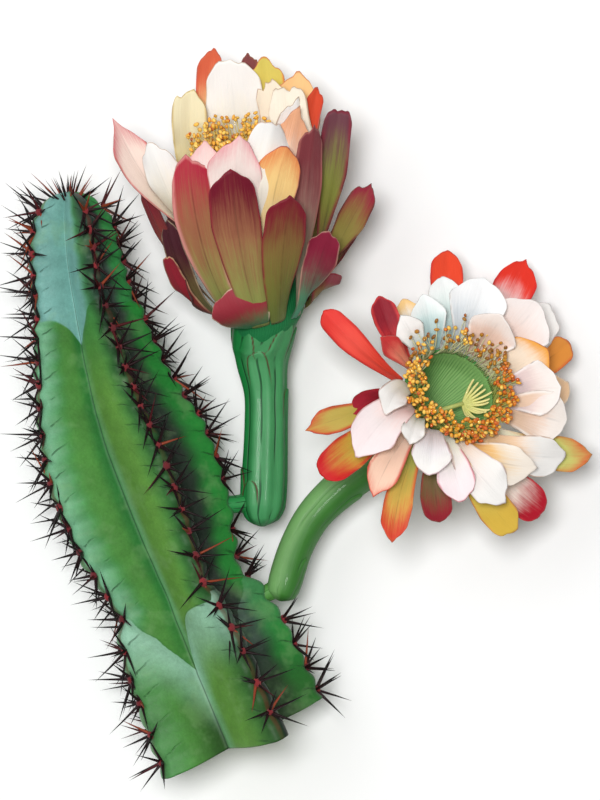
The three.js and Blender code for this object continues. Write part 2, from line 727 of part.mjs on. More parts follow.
// Directions across a blade and towards the flower's middle, rolled over towards the tip
function bladeFrame(head, spec, point, tangent, share) {
  const radial = point.clone().sub(head.centre);
  radial.addScaledVector(head.axis, -radial.dot(head.axis)).normalize();
  const sideways = head.axis.clone().cross(radial);
  sideways.addScaledVector(tangent, -sideways.dot(tangent)).normalize();
  const rolled = THREE.MathUtils.smoothstep(share, rollStart, rollEnd);
  sideways.applyAxisAngle(tangent, radians(THREE.MathUtils.lerp(bladeTilt, spec.turn, rolled)));
  return { sideways, inward: tangent.clone().cross(sideways) };
}

function collar(head, inner, outer, bottom, top) {
  const outline = [[inner, bottom], [outer, bottom], [outer, top], [inner, top], [inner, bottom]];
  return turned(head, outline, headSides);
}

function outerBlades(head, tepals, swell) {
  const rootRadius = cupOutside(head, tepalRing.top) + gap + outerRoot.out;
  return tepals.map((spec, i) => {
    const height = outerRoot.height + rootStep * (i % 3);
    return petal(head, spec, rootRadius, height, swell);
  });
}

function buildOuterTepals(head, tepals) {
  const inner = cupOutside(head, tepalRing.top) + gap;
  const ring = collar(head, inner, inner + tepalRing.width, tepalRing.bottom, tepalRing.top);
  return fuse([ring, ...outerBlades(head, tepals, 0)]);
}

// The inner petals stand on the cup's mouth, trimmed where an outer tepal would touch them
function buildInnerPetals(head, petals, tepals) {
  const bottom = head.cupHeight + gap;
  const inner = head.cupRadius - innerRing.width;
  const ring = collar(head, inner, head.cupRadius, bottom, bottom + innerRing.height);
  const blades = petals.map((spec, i) => {
    const height = bottom + innerRoot.height + rootStep * (i % 2);
    return petal(head, spec, head.cupRadius - innerRoot.inset, height);
  });
  const room = wasm.Manifold.union(outerBlades(head, tepals, gap));
  return fuse([wasm.Manifold.union([ring, ...blades]).subtract(room)]);
}

function buildStamens(head, plan) {
  const random = seededRandom(plan.seed);
  const { baseHeight } = plan;
  const radius = cupInside(head, Math.min(head.cupHeight, baseHeight) - stamenCollar.height) - gap;
  const inner = radius - stamenCollar.width;
  const pieces = [collar(head, inner, radius, baseHeight - stamenCollar.height, baseHeight)];
  for (let i = 0; i < plan.count; i += 1) {
    const angle = i * goldenTurn;
    const reach = plan.reach[0] + (plan.reach[1] - plan.reach[0]) * Math.sqrt(random());
    const rootHeight = baseHeight - stamenCollar.rootDepth;
    const root = rimPoint(head, angle, radius - stamenCollar.rootInset, rootHeight);
    const tip = rimPoint(head, angle + 14 * (random() - 0.5), reach, between(random, plan.height));
    pieces.push(needle(root, tip, filamentRadius, filamentRadius * filamentTaper));
    const anther = new THREE.OctahedronGeometry(antherRadius);
    anther.rotateZ(random() * 3);
    anther.translate(tip.x, tip.y, tip.z);
    pieces.push(toSolid(anther));
  }
  return fuse(pieces);
}

// The style leans to one side and opens into stigma lobes round its top
function buildStyle(head, plan) {
  const foot = rimPoint(head, ...plan.foot);
  const top = rimPoint(head, ...plan.top);
  const pieces = [styleRod(foot, top, styleRadius)];
  for (let i = 0; i < plan.lobes; i += 1) {
    const angle = plan.top[0] + plan.fan * ((i + 0.5) / plan.lobes - 0.5);
    const side = rimPoint(head, angle, plan.lobeReach, 0).sub(head.centre);
    const tip = top.clone().add(side).addScaledVector(head.axis, plan.lobeRise);
    pieces.push(needle(top.clone().addScaledVector(head.axis, -1), tip, lobeRootRadius, lobeTipRadius));
  }
  return fuse(pieces);
}

function styleRod(from, to, radius) {
  const length = from.distanceTo(to);
  const rod = new THREE.CylinderGeometry(radius, radius, length, 6, 1);
  rod.translate(0, length / 2, 0);
  rod.applyQuaternion(new THREE.Quaternion().setFromUnitVectors(
    new THREE.Vector3(0, 1, 0),
    to.clone().sub(from).normalize(),
  ));
  rod.translate(from.x, from.y, from.z);
  return toSolid(rod);
}

// Scales on the tubes: place along the tube, turn round it, length and width
const sideScales = [
  [0.654, 100, 30, 9], [0.734, 10, 24, 9], [0.54, 5, 26, 9], [0.33, 172, 14, 7], [0.74, 150, 40, 15],
  [0.8, 250, 26, 9],
];
const openScales = [[0.28, 35, 18, 6], [0.6, 20, 20, 7], [0.5, 250, 22, 8], [0.78, 150, 22, 9]];

// Colour and roughness of each kind of piece
const stemFinish = [0x4f9a55, 0.5];
const sideTubeFinish = [0x2f8a4f, 0.5];
const openTubeFinish = [0x4d9a58, 0.5];
const sideTepalFinish = [0x7a2f3a, 0.55];
const openTepalFinish = [0xc2452c, 0.55];
const sidePetalFinish = [0xf4e9d8, 0.6];
const openPetalFinish = [0xf6ece6, 0.6];
const stamenFinish = [0xe0a12e, 0.6];
const styleFinish = [0xd9d477, 0.55];

const stemSkin = stemBody(gap + 0.1);
const sideTube = buildTube(sideHead, sideTubeLine, sideNeck, sideScales, stemSkin);
const openTube = buildTube(openHead, openTubeLine, openNeck, openScales, stemSkin);
const sideTepals = buildOuterTepals(sideHead, sideOuterTepals);
const openTepals = buildOuterTepals(openHead, openOuterTepals);
const sidePetals = buildInnerPetals(sideHead, sideInnerPetals, sideOuterTepals);
const openPetals = buildInnerPetals(openHead, openInnerPetals, openOuterTepals);

const pieces = [
  toMesh(buildStem(), 'stem', ...stemFinish),
  toMesh(sideTube, 'side_flower_tube', ...sideTubeFinish),
  toMesh(sideTepals, 'side_flower_outer_tepals', ...sideTepalFinish),
  toMesh(sidePetals, 'side_flower_inner_petals', ...sidePetalFinish),
  toMesh(buildStamens(sideHead, sideStamens), 'side_flower_stamens', ...stamenFinish),
  toMesh(buildStyle(sideHead, sideStyle), 'side_flower_style', ...styleFinish),
  toMesh(openTube, 'open_flower_tube', ...openTubeFinish),
  toMesh(openTepals, 'open_flower_outer_tepals', ...openTepalFinish),
  toMesh(openPetals, 'open_flower_inner_petals', ...openPetalFinish),
  toMesh(buildStamens(openHead, openStamens), 'open_flower_stamens', ...stamenFinish),
  toMesh(buildStyle(openHead, openStyle), 'open_flower_style', ...styleFinish),
];

const group = new THREE.Group();
group.add(...pieces);

// The middle of the outline lies over the origin and the lowest spines touch the surface
const outline = new THREE.Box3().setFromObject(group);
const middle = outline.getCenter(new THREE.Vector3());
group.position.set(-middle.x, -middle.y, -outline.min.z);

export default group;
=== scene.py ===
import math

import bmesh
import bpy
from mathutils import Matrix, Vector, noise


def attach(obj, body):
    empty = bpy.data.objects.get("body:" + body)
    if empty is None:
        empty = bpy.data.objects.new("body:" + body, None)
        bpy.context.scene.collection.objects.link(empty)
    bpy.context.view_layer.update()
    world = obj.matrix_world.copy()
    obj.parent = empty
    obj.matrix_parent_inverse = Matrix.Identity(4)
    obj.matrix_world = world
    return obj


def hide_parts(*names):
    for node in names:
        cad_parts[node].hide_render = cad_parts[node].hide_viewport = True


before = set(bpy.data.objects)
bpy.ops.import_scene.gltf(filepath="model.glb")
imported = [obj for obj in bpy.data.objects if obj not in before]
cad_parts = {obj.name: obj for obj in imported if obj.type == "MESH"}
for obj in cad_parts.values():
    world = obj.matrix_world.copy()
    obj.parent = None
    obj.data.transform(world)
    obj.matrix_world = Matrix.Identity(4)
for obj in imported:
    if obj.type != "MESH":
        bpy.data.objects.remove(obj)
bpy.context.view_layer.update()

# The part was drawn in millimetres and then moved so that its middle lies over the origin
modelShift = Vector((2.3647, 0.1943, -7.0))
metresPerMm = 0.001
upward = Vector((0, 0, 1))
goldenTurn = 137.5


def sceneSpot(point):
    return (Vector(point) + modelShift) * metresPerMm


def lerp(a, b, share):
    return a + (b - a) * share


def clamp(value, low=0.0, high=1.0):
    return max(low, min(high, value))


def ease(value, low, high):
    share = clamp((value - low) / (high - low))
    return share * share * (3 - 2 * share)


def seeded(seed):
    state = [seed]

    def draw():
        state[0] = (state[0] * 16807) % 2147483647
        return state[0] / 2147483647

    return draw


def between(draw, span):
    return span[0] + (span[1] - span[0]) * draw()


# Colours are written as screen values from 0 to 255 and used as light values
def tint(red, green, bloomAndHighlight):
    def light(value):
        share = value / 255
        return share / 12.92 if share <= 0.04045 else ((share + 0.055) / 1.055) ** 2.4

    return (light(red), light(green), light(bloomAndHighlight), 1.0)


def mixTint(a, b, share):
    return tuple(lerp(x, y, share) for x, y in zip(a, b))


# A smooth curve through points, drawn as the part's own source draws it
curveSteps = 200


class ThroughCurve:
    def __init__(self, points):
        self.points = [Vector(p) for p in points]
        self.marks = [0.0]
        last = self.at(0)
        for i in range(1, curveSteps + 1):
            here = self.at(i / curveSteps)
            self.marks.append(self.marks[-1] + (here - last).length)
            last = here
        self.length = self.marks[-1]

    def at(self, share):
        pts = self.points
        count = len(pts)
        place = (count - 1) * clamp(share)
        i = min(int(place), count - 2)
        weight = place - i
        p1, p2 = pts[i], pts[i + 1]
        p0 = pts[i - 1] if i > 0 else p1 * 2 - p2
        p3 = pts[i + 2] if i + 2 < count else p2 * 2 - p1
        d0 = (p1 - p0).length ** 0.5
        d1 = (p2 - p1).length ** 0.5
        d2 = (p3 - p2).length ** 0.5
        t1 = ((p1 - p0) / d0 - (p2 - p0) / (d0 + d1) + (p2 - p1) / d1) * d1
        t2 = ((p2 - p1) / d1 - (p3 - p1) / (d1 + d2) + (p3 - p2) / d2) * d1
        w2 = weight * weight
        w3 = w2 * weight
        return (
            p1
            + t1 * weight
            + (p1 * -3 + p2 * 3 - t1 * 2 - t2) * w2
            + (p1 * 2 - p2 * 2 + t1 + t2) * w3
        )

    def tangent(self, share):
        low, high = clamp(share - 0.0001), clamp(share + 0.0001)
        return (self.at(high) - self.at(low)).normalized()

    def evenShare(self, share):
        target = clamp(share) * self.length
        low, high = 0, curveSteps
        while high - low > 1:
            mid = (low + high) // 2
            if self.marks[mid] <= target:
                low = mid
            else:
                high = mid
        part = (target - self.marks[low]) / max(1e-9, self.marks[high] - self.marks[low])
        return (low + part) / curveSteps


# Shader sums as Python: a wrapped socket takes + - * and the few functions the finishes need
class Wire:
    def __init__(self, finish, socket):
        self.finish = finish
        self.socket = socket

    def sum(self, operation, first, second=None):
        values = {0: first} if second is None else {0: first, 1: second}
        return self.finish.add("ShaderNodeMath", {"operation": operation}, values)

    def __add__(self, other):
        return self.sum("ADD", self, other)

    __radd__ = __add__

    def __sub__(self, other):
        return self.sum("SUBTRACT", self, other)

    def __rsub__(self, other):
        return self.sum("SUBTRACT", other, self)

    def __mul__(self, other):
        return self.sum("MULTIPLY", self, other)

    __rmul__ = __mul__

    def __abs__(self):
        return self.sum("ABSOLUTE", self)

    def wave(self):
        return self.sum("SINE", self)

    def turn(self):
        return self.sum("FRACT", self)

    def least(self, other):
        return self.sum("MINIMUM", self, other)

    def ease(self, low, high):
        # 0 below low, 1 above high; both may be wires
        settings = {"interpolation_type": "SMOOTHSTEP"}
        return self.finish.add("ShaderNodeMapRange", settings, {0: self, 1: low, 2: high, 3: 0.0, 4: 1.0})


class Finish:
    def __init__(self, name):
        self.material = bpy.data.materials.new(name)
        self.material.use_nodes = True
        self.tree = self.material.node_tree
        self.tree.nodes.clear()
        self.shell = self.tree.nodes.new("ShaderNodeBsdfPrincipled")
        output = self.tree.nodes.new("ShaderNodeOutputMaterial")
        self.tree.links.new(self.shell.outputs[0], output.inputs[0])

    def plug(self, target, value):
        if isinstance(value, Wire):
            self.tree.links.new(value.socket, target)
        else:
            target.default_value = value

    def add(self, kind, settings=None, sockets=None, out=0):
        node = self.tree.nodes.new(kind)
        for name, value in (settings or {}).items():
            setattr(node, name, value)
        for name, value in (sockets or {}).items():
            self.plug(node.inputs[name], value)
        wires = [Wire(self, socket) for socket in node.outputs]
        return wires if out is None else wires[out]

    def blend(self, share, a, b, mode="MIX"):
        settings = {"data_type": "RGBA", "blend_type": mode, "clamp_factor": True}
        return self.add("ShaderNodeMix", settings, {0: share, 6: a, 7: b}, out=2)

    def shaded(self, colour, strength):
        # darker or lighter by a wired amount, with 1 as no change
        grey = self.add("ShaderNodeCombineColor", None, {0: strength, 1: strength, 2: strength})
        return self.blend(1.0, colour, grey, "MULTIPLY")

    def painted(self, name):
        # a colour attribute and its fourth number
        wires = self.add("ShaderNodeAttribute", {"attribute_name": name}, out=None)
        return wires[0], wires[3]

    def sheet(self, name):
        flat = self.add("ShaderNodeUVMap", {"uv_map": name})
        wires = self.add("ShaderNodeSeparateXYZ", None, {0: flat}, out=None)
        return wires[0], wires[1]

    def numbers(self, name):
        # three plain numbers kept per corner
        vector = self.add("ShaderNodeAttribute", {"attribute_name": name}, out=1)
        return self.add("ShaderNodeSeparateXYZ", None, {0: vector}, out=None)

    def spot(self):
        return self.add("ShaderNodeTexCoord", None, out=3)

    def grain(self, scale, detail=3.0, rough=0.5, vector=None):
        # cloudy noise from 0 to 1, on the piece's own place unless a vector is given
        sockets = {"Scale": scale, "Detail": detail, "Roughness": rough}
        sockets["Vector"] = vector if vector is not None else self.spot()
        return self.add("ShaderNodeTexNoise", None, sockets)

    def joined(self, x, y, z=0.0):
        return self.add("ShaderNodeCombineXYZ", None, {0: x, 1: y, 2: z})

    def relief(self, height, distance, strength=1.0):
        sockets = {"Strength": strength, "Distance": distance, "Height": height}
        self.plug(self.shell.inputs["Normal"], self.add("ShaderNodeBump", None, sockets))

    def skin(self, **values):
        for name, value in values.items():
            self.plug(self.shell.inputs[name.replace("_", " ")], value)


# Meshes

def gridOver(bm, across, along, spotAt, uvName="sheet"):
    # a sheet whose corners run from 0 to 1 both ways, moved to where spotAt says
    uv = bm.loops.layers.uv.get(uvName) or bm.loops.layers.uv.new(uvName)
    made = bmesh.ops.create_grid(bm, x_segments=across, y_segments=along, size=1.0, calc_uvs=False)
    verts = made["verts"]
    shares = {}
    for vert in verts:
        shares[vert] = ((vert.co.x + 1) / 2, (vert.co.y + 1) / 2)
    for vert in verts:
        vert.co = sceneSpot(spotAt(*shares[vert]))
    faces = {face for vert in verts for face in vert.link_faces}
    for face in faces:
        for loop in face.loops:
            loop[uv].uv = shares[loop.vert]
    return verts, faces, shares


def finishedPiece(name, bm, finishes, replaced=(), doubles=0.0):
    if doubles:
        bmesh.ops.remove_doubles(bm, verts=bm.verts, dist=doubles)
        bmesh.ops.dissolve_degenerate(bm, dist=doubles, edges=bm.edges)
    bmesh.ops.recalc_face_normals(bm, faces=bm.faces)
    mesh = bpy.data.meshes.new(name)
    for face in bm.faces:
        face.smooth = True
    bm.to_mesh(mesh)
    bm.free()
    for finish in finishes:
        mesh.materials.append(finish.material)
    piece = bpy.data.objects.new(name, mesh)
    bpy.context.scene.collection.objects.link(piece)
    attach(piece, "root")
    if replaced:
        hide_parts(*replaced)
    return piece


def paint(bm, name):
    return bm.verts.layers.float_color.get(name) or bm.verts.layers.float_color.new(name)


def sweep(bm, layer, centres, radii, sides, colours):
    # a round rod through a few centres, closed at both ends by a radius of nothing
    axis = (centres[-1] - centres[0]).normalized()
    side = axis.cross(upward if abs(axis.z) < 0.9 else Vector((1, 0, 0))).normalized()
    front = side.cross(axis)
    rows = len(centres) - 1

    def spotAt(u, v):
        row = round(v * rows)
        angle = (round(u * sides) % sides) * 2 * math.pi / sides
        return centres[row] + (side * math.cos(angle) + front * math.sin(angle)) * radii[row]

    verts, faces, shares = gridOver(bm, sides, rows, spotAt)
    for vert in verts:
        vert[layer] = colours[round(shares[vert][1] * rows)]


# Stem

stem = {
    "line": [(-30, -149, 50), (-45, -113, 50), (-58, -83, 50), (-76, -38, 50),
             (-89, -2, 50), (-98, 35, 49), (-104, 67, 48), (-107, 101, 47)],
    "ribHeights": [(0, 44.2), (39, 42), (56, 38.5), (71, 32.5), (84, 36), (102, 40.3), (122, 42),
                   (140, 42), (159, 37.4), (179, 32.4), (197, 28.3), (214, 24.6), (230, 23.4),
                   (244, 21.5)],
    "domeStart": 240,
    "ribTurns": [-5, 63, 146, 222, 288],
    "grooveShare": 0.43,
    "cutLean": 0.23,
    "cutLeanLength": 34,
    "crestHalf": 4.4,
    "crestDrop": 2.4,
    "notchDepth": 1.7,
    "notchReach": 3.4,
    "swell": 0.5,
    "faceSwell": 0.085,
    "crossSteps": 32,
    "lengthSteps": 330,
    "cutRings": 14,
    "stepRise": 1.5,
    "stepReach": 9,
    "stepStart": 3,
    "crestShare": 0.24,
    "domeBlunt": 0.004,
    "cutSink": 1.6,
    "woodRing": 0.42,
    "woodRise": 0.5,
}
areolePlan = {
    "spacing": (13, 8.8),
    "jitter": (0.9, 1.1),
    "first": 4,
    "stagger": 2.2,
    "bareTip": 7,
    "padRadius": 1.75,
    "inset": 0.78,
    "clearance": 3,
    "floor": 7.2,
}
stemCurve = ThroughCurve(stem["line"])


def ribHeight(s):
    stations = stem["ribHeights"]
    if s >= stem["domeStart"]:
        share = min(1, (s - stem["domeStart"]) / (stemCurve.length - stem["domeStart"]))
        return ribHeight(stem["domeStart"] - 0.01) * math.sqrt(max(stem["domeBlunt"], 1 - share * share))
    i = 1
    while i < len(stations) - 1 and stations[i][0] < s:
        i += 1
    (s0, r0), (s1, r1) = stations[i - 1], stations[i]
    return lerp(r0, r1, ease(s, s0, s1))


def stemSection(s):
    share = stemCurve.evenShare(s / stemCurve.length)
    tangent = stemCurve.tangent(share)
    right = tangent.cross(upward).normalized()
    return stemCurve.at(share), tangent, right, right.cross(tangent)


def stemSpot(section, s, flat):
    centre, tangent, right, rise = section
    lean = stem["cutLean"] * max(0, 1 - s / stem["cutLeanLength"])
    return centre + right * flat[0] + rise * flat[1] - tangent * lean * flat[1]


def areolesOn(rib):
    draw = seeded(101 + rib * 17)
    places = []
    s = areolePlan["first"] + areolePlan["stagger"] * ((rib * 3) % 5)
    while s < stemCurve.length - areolePlan["bareTip"]:
        places.append(s)
        spacing = lerp(*areolePlan["spacing"], s / stemCurve.length)
        s += spacing * between(draw, areolePlan["jitter"])
    return places


areoles = [areolesOn(rib) for rib in range(5)]


def areolePhase(rib, s):
    # counts areoles along the rib, whole at each one
    places = areoles[rib]
    if s <= places[0]:
        return (s - places[0]) / areolePlan["spacing"][0]
    for i in range(len(places) - 1):
        if s <= places[i + 1]:
            return i + (s - places[i]) / (places[i + 1] - places[i])
    return len(places) - 1 + (s - places[-1]) / areolePlan["spacing"][1]


def turned2d(radius, turn, sideways=0.0):
    c, d = math.cos(math.radians(turn)), math.sin(math.radians(turn))
    return Vector((radius * c - sideways * d, radius * d + sideways * c))


def ribOutline(rib, across, s):
    # across runs from -1 in one groove over 0 on the crest to 1 in the next groove
    turns = stem["ribTurns"]
    turn = turns[rib]
    if across >= 0:
        other = turns[rib + 1] if rib < 4 else turns[0] + 360
    else:
        other = turns[rib - 1] if rib > 0 else turns[4] - 360
    side = 1 if across >= 0 else -1
    t = abs(across)
    height = ribHeight(s)
    nearest = min(abs(place - s) for place in areoles[rib])
    notch = math.exp(-((nearest / stem["notchReach"]) ** 2))
    small = ease(height, 5, 14)
    crest = height - (stem["notchDepth"] * notch - stem["swell"] * (1 - notch)) * small
    half = min(stem["crestHalf"], height * 0.2)
    drop = min(stem["crestDrop"], height * 0.12)
    top = turned2d(crest, turn)
    corner = turned2d(crest, turn, side * half * 1.05)
    shoulder = turned2d(crest - drop * 1.5, turn, side * half * 1.12)
    groove = turned2d(height * stem["grooveShare"], (turn + other) / 2)
    start = stem["crestShare"]
    if t < start:
        q = t / start
        return top * (1 - q) ** 2 + corner * 2 * q * (1 - q) + shoulder * q * q
    q = (t - start) / (1 - start)
    line = groove - shoulder
    out = Vector((line.y, -line.x)) * side
    if out.dot(groove + shoulder) < 0:
        out = -out
    bulge = stem["faceSwell"] * (1 - 0.35 * q) * math.sin(math.pi * q ** 0.8)
    return shoulder + line * q + out * bulge


# Each year's growth ends in an arc: start on the crest, fall to the groove and how late it falls
growthArcs = {
    "low": {"left": (69.5, 34.5, 1.6), "flank": (62, 27, 7), "other": (66, 30, 2)},
    "high": {"left": (206, 14, 3), "flank": (212, 20, 1.6), "other": (208, 10, 2)},
}
# millimetres up the stem, halfway between the two arcs
bloomEnd = 130


def growthArc(which, rib, across, s):
    # millimetres below the arc where one year's growth meets the next
    if rib == 2 and across < 0:
        start, fall, power = growthArcs[which]["left"]
    elif rib == 1 and across > 0:
        start, fall, power = growthArcs[which]["flank"]
    else:
        start, fall, power = growthArcs[which]["other"]
    return start - fall * abs(across) ** power - s


# Rind greens: shade is painted shade, and the bluish green is bloom colour that also serves as a painted
# highlight
rindTints = {
    "deep": tint(26, 98, 40),
    "leaf": tint(58, 128, 58),
    "warm": tint(92, 136, 52),
    "bloomAndHighlight": tint(116, 174, 138),
    "shade": tint(8, 28, 14),
    "vivid": tint(26, 122, 44),
    "low": tint(62, 118, 44),
    "lowDark": tint(34, 70, 20),
}


def skinTint(rib, across, s):
    # painted greens: bluish bloom with a painted highlight beside the crests, warm middle, painted deep
    # shade right of the middle rib and in the grooves
    t = abs(across)
    deep, leaf, warm, bloomAndHighlight, shade = [rindTints[k] for k in ("deep", "leaf", "warm", "bloomAndHighlight", "shade")]
    colour = mixTint(leaf, deep, 0.3 * ease(s, 120, 230))
    facing = 1 if across >= 0 else -1
    lowShare = 1 - ease(s, 30, 75)
    if rib == 1 and facing > 0:
        # flank left of the middle rib, seen between the groove and the crest
        colour = mixTint(colour, warm, 0.8 * ease(t, 0.1, 0.5) * (1 - ease(s, 160, 215)))
        # painted shade beside the crest, and a painted highlight in bloom colour just past the groove
        colour = mixTint(colour, shade, (0.7 + 0.25 * ease(s, 150, 210)) * (1 - ease(t, 0.02, 0.42)))
        colour = mixTint(colour, bloomAndHighlight, 0.55 * ease(t, 0.78, 0.97) * (1 - 0.6 * ease(s, 120, 180)))
        colour = mixTint(colour, rindTints["lowDark"], 0.55 * lowShare * (1 - ease(t, 0.1, 0.75)))
    elif rib == 2 and facing < 0:
        # the broad left face: bloom colour with a painted highlight beside the crest, painted shade towards
        # the groove
        colour = mixTint(colour, bloomAndHighlight, 0.85 * (1 - ease(t, 0.04, 0.5)) * (1 - 0.5 * lowShare))
        colour = mixTint(colour, warm, 0.35 * ease(t, 0.35, 0.6) * (1 - ease(t, 0.75, 0.95)))
        colour = mixTint(colour, deep, 0.75 * ease(t, 0.7, 0.98))
        colour = mixTint(colour, rindTints["low"], 0.6 * lowShare)
        colour = mixTint(colour, rindTints["lowDark"], 0.9 * (1 - ease(s, 10, 36)) * ease(t, 0.45, 0.98))
    elif rib == 1 and facing < 0:
        # the shaded side of the middle rib, painted dark as shade
        colour = mixTint(colour, deep, 0.5)
        colour = mixTint(colour, shade, 0.98 * (1 - ease(t, 0.5, 1.0)))
    elif rib == 0 and facing > 0:
        colour = mixTint(colour, rindTints["vivid"], 0.85)
        # painted shade beside the middle rib, and a faint painted highlight on the crest
        colour = mixTint(colour, shade, 0.97 * ease(t, 0.32, 0.66))
        colour = mixTint(colour, bloomAndHighlight, 0.12 * (1 - ease(t, 0.02, 0.2)))
        colour = mixTint(colour, rindTints["lowDark"], 0.6 * (1 - ease(s, 8, 34)))
    else:
        # a painted highlight in bloom colour by the crest, painted shade in the groove
        colour = mixTint(colour, bloomAndHighlight, 0.25 * (1 - ease(t, 0.1, 0.6)))
        colour = mixTint(colour, deep, 0.55 * ease(t, 0.7, 1.0))
    return colour


def buildStemSkin():
    crossCount = stem["crossSteps"] * 5
    cutRings = stem["cutRings"]
    rows = stem["lengthSteps"] + cutRings
    bm = bmesh.new()
    tints = paint(bm, "skinTint")
    growth = paint(bm, "growth")
    sections = {}
    placeOf = {}

    def rowPlace(v):
        # the first rows close the cut, the rest run up the stem
        row = round(v * rows)
        if row <= cutRings:
            return 0.0, row / cutRings
        return (row - cutRings) / stem["lengthSteps"] * stemCurve.length, 1.0

    def spotAt(u, v):
        column = round(u * crossCount) % crossCount
        rib = (column // stem["crossSteps"]) % 5
        across = (column % stem["crossSteps"]) / (stem["crossSteps"] / 2) - 1
        s, size = rowPlace(v)
        if s not in sections:
            sections[s] = stemSection(s)
        flat = ribOutline(rib, across, s)
        for which in growthArcs:
            # older growth stands a little prouder just below each arc
            under = growthArc(which, rib, across, s)
            if 0 < under < 40:
                step = stem["stepRise"] * ease(under, 0, stem["stepStart"])
                step *= math.exp(-under / stem["stepReach"])
                flat = flat * (1 + step / max(20, flat.length))
        spot = stemSpot(sections[s], s, flat * size)
        if s == 0.0:
            # the cut face is slightly hollow, with a raised ring of wood
            ring = math.exp(-(((size - stem["woodRing"]) / 0.08) ** 2))
            sink = stem["cutSink"] * (1 - size ** 6) - stem["woodRise"] * ring
            spot = spot + sections[s][1] * sink
        placeOf[(column, round(v * rows))] = (rib, across, s, size)
        return spot

    verts, faces, shares = gridOver(bm, crossCount, rows, spotAt)
    sheet = bm.loops.layers.uv["sheet"]
    ribMap = bm.loops.layers.uv.new("ribs")
    for vert in verts:
        u, v = shares[vert]
        rib, across, s, size = placeOf[(round(u * crossCount) % crossCount, round(v * rows))]
        vert[tints] = skinTint(rib, across, s)
        low, high = growthArc("low", rib, across, s), growthArc("high", rib, across, s)
        facing = 1 if across >= 0 else -1
        # how much of the bluish bloom and of the painted highlight under the lower arc shows: all on the
        # left face, less towards the middle rib
        dusted = 0.2 if s < bloomEnd else 0.0
        if (rib, facing) == (2, -1):
            dusted = 1
        elif (rib, facing) == (1, 1):
            dusted = 1 if s < bloomEnd else ease(across, 0.22, 0.6)
        vert[growth] = (low / 100, high / 100, dusted, 1)
        if size < 1:
            vert[tints] = cutTint(size)
            vert[growth] = (-1, 1, 0, 1)
    for face in faces:
        middle = sum(loop[sheet].uv.x for loop in face.loops) / 4 * 5
        rib = int(middle) % 5
        for loop in face.loops:
            u, v = loop[sheet].uv
            s, size = rowPlace(v)
            across = (u * 5 - int(middle)) * 2 - 1
            loop[ribMap].uv = (across, areolePhase(rib, s) if size == 1.0 else -50)
            loop[sheet].uv = (u * 5, s / 10)
    return bm


def cutTint(size):
    # pith, wood ring and green flesh on the cut
    pith = tint(226, 230, 196)
    wood = tint(196, 186, 128)
    flesh = tint(168, 198, 132)
    rind = tint(78, 132, 66)
    colour = mixTint(pith, wood, math.exp(-(((size - stem["woodRing"]) / 0.06) ** 2)))
    colour = mixTint(colour, flesh, ease(size, 0.46, 0.6))
    return mixTint(colour, rind, ease(size, 0.86, 0.99))


def stemFinish():
    f = Finish("waxy green rind")
    base, _ = f.painted("skinTint")
    low, high, dusted = f.numbers("growth")
    across, phase = f.sheet("ribs")
    wide = abs(across)
    cloud = f.grain(46, 4, 0.6)
    mottle = f.grain(150, 3, 0.6)
    fleck = f.grain(700, 2, 0.6)
    wander = (f.grain(90, 2, 0.5) - 0.5) * 0.006
    alive = phase.ease(-2, -1)
    # bluish bloom with a painted highlight on the bulge just under the lower arc, and blue-grey young
    # growth over the upper one
    under = low + wander
    bloom = under.ease(0.0, 0.007) * (1 - under.ease(0.02, 0.34)) * alive
    colour = f.blend(bloom * dusted * (0.55 + cloud * 0.5), base, tint(140, 184, 160))
    young = (1 - (high + wander).ease(-0.006, 0.006)) * (0.06 + dusted * 0.9)
    colour = f.blend(young * (1 - wide.ease(0.985, 1.0) * 0.4), colour, tint(112, 164, 156))
    # thin creases run from each areole a little way across the face of its rib, painted dark as shade
    ripple = f.grain(220, 2, 0.5)
    climb = wide * 1.1 - wide * wide * 0.4 + (ripple - 0.5) * 0.16
    near = abs((phase - climb + 0.5).turn() - 0.5)
    reach = wide.ease(0.08, 0.14) * (1 - wide.ease(0.22, 0.5)) * alive
    crease = (1 - near.ease(0.01, 0.045)) * reach * mottle.ease(0.36, 0.58)
    stipple = f.grain(2000, 1, 0.5)
    colour = f.shaded(colour, 0.5 + cloud * 0.55 + mottle * 0.45)
    colour = f.shaded(colour, 0.74 + fleck * 0.3 + stipple * 0.22)
    # warmer and bluer patches
    patch = f.grain(70, 3, 0.6)
    colour = f.blend(patch.ease(0.52, 0.7) * 0.22 * alive, colour, tint(128, 168, 110))
    # painted shade in the creases
    colour = f.blend(crease * 0.6, colour, tint(14, 52, 22))
    rim = (1 - wide.ease(0.015, 0.05)) * cloud.ease(0.35, 0.6) * alive
    colour = f.blend(rim * 0.6, colour, tint(88, 40, 30))
    # painted shade down the groove between the ribs
    valley = wide.ease(0.982, 0.996) * alive
    colour = f.blend(valley * (0.75 - dusted * 0.15), colour, tint(10, 46, 26))
    # painted shade along the step where one year's growth meets the next
    arc = (1 - abs(under).ease(0.0, 0.005)) * dusted * wide.ease(0.1, 0.3) * alive
    colour = f.blend(arc * 0.3, colour, tint(30, 84, 50))
    f.skin(Base_Color=colour, Roughness=0.46 + fleck * 0.2)
    f.skin(Specular_IOR_Level=0.28, Sheen_Weight=0.06, Sheen_Roughness=0.5)
    f.relief(ripple * 0.5 + fleck * 0.25 + mottle * 0.4 - crease, 0.0006, 0.7)
    return f


skinPiece = finishedPiece("stem_skin", buildStemSkin(), [stemFinish()], ["stem"], doubles=1e-6)
print("stem skin", len(skinPiece.data.polygons))


# Flower tubes: their centre lines carry a fourth number, the radius

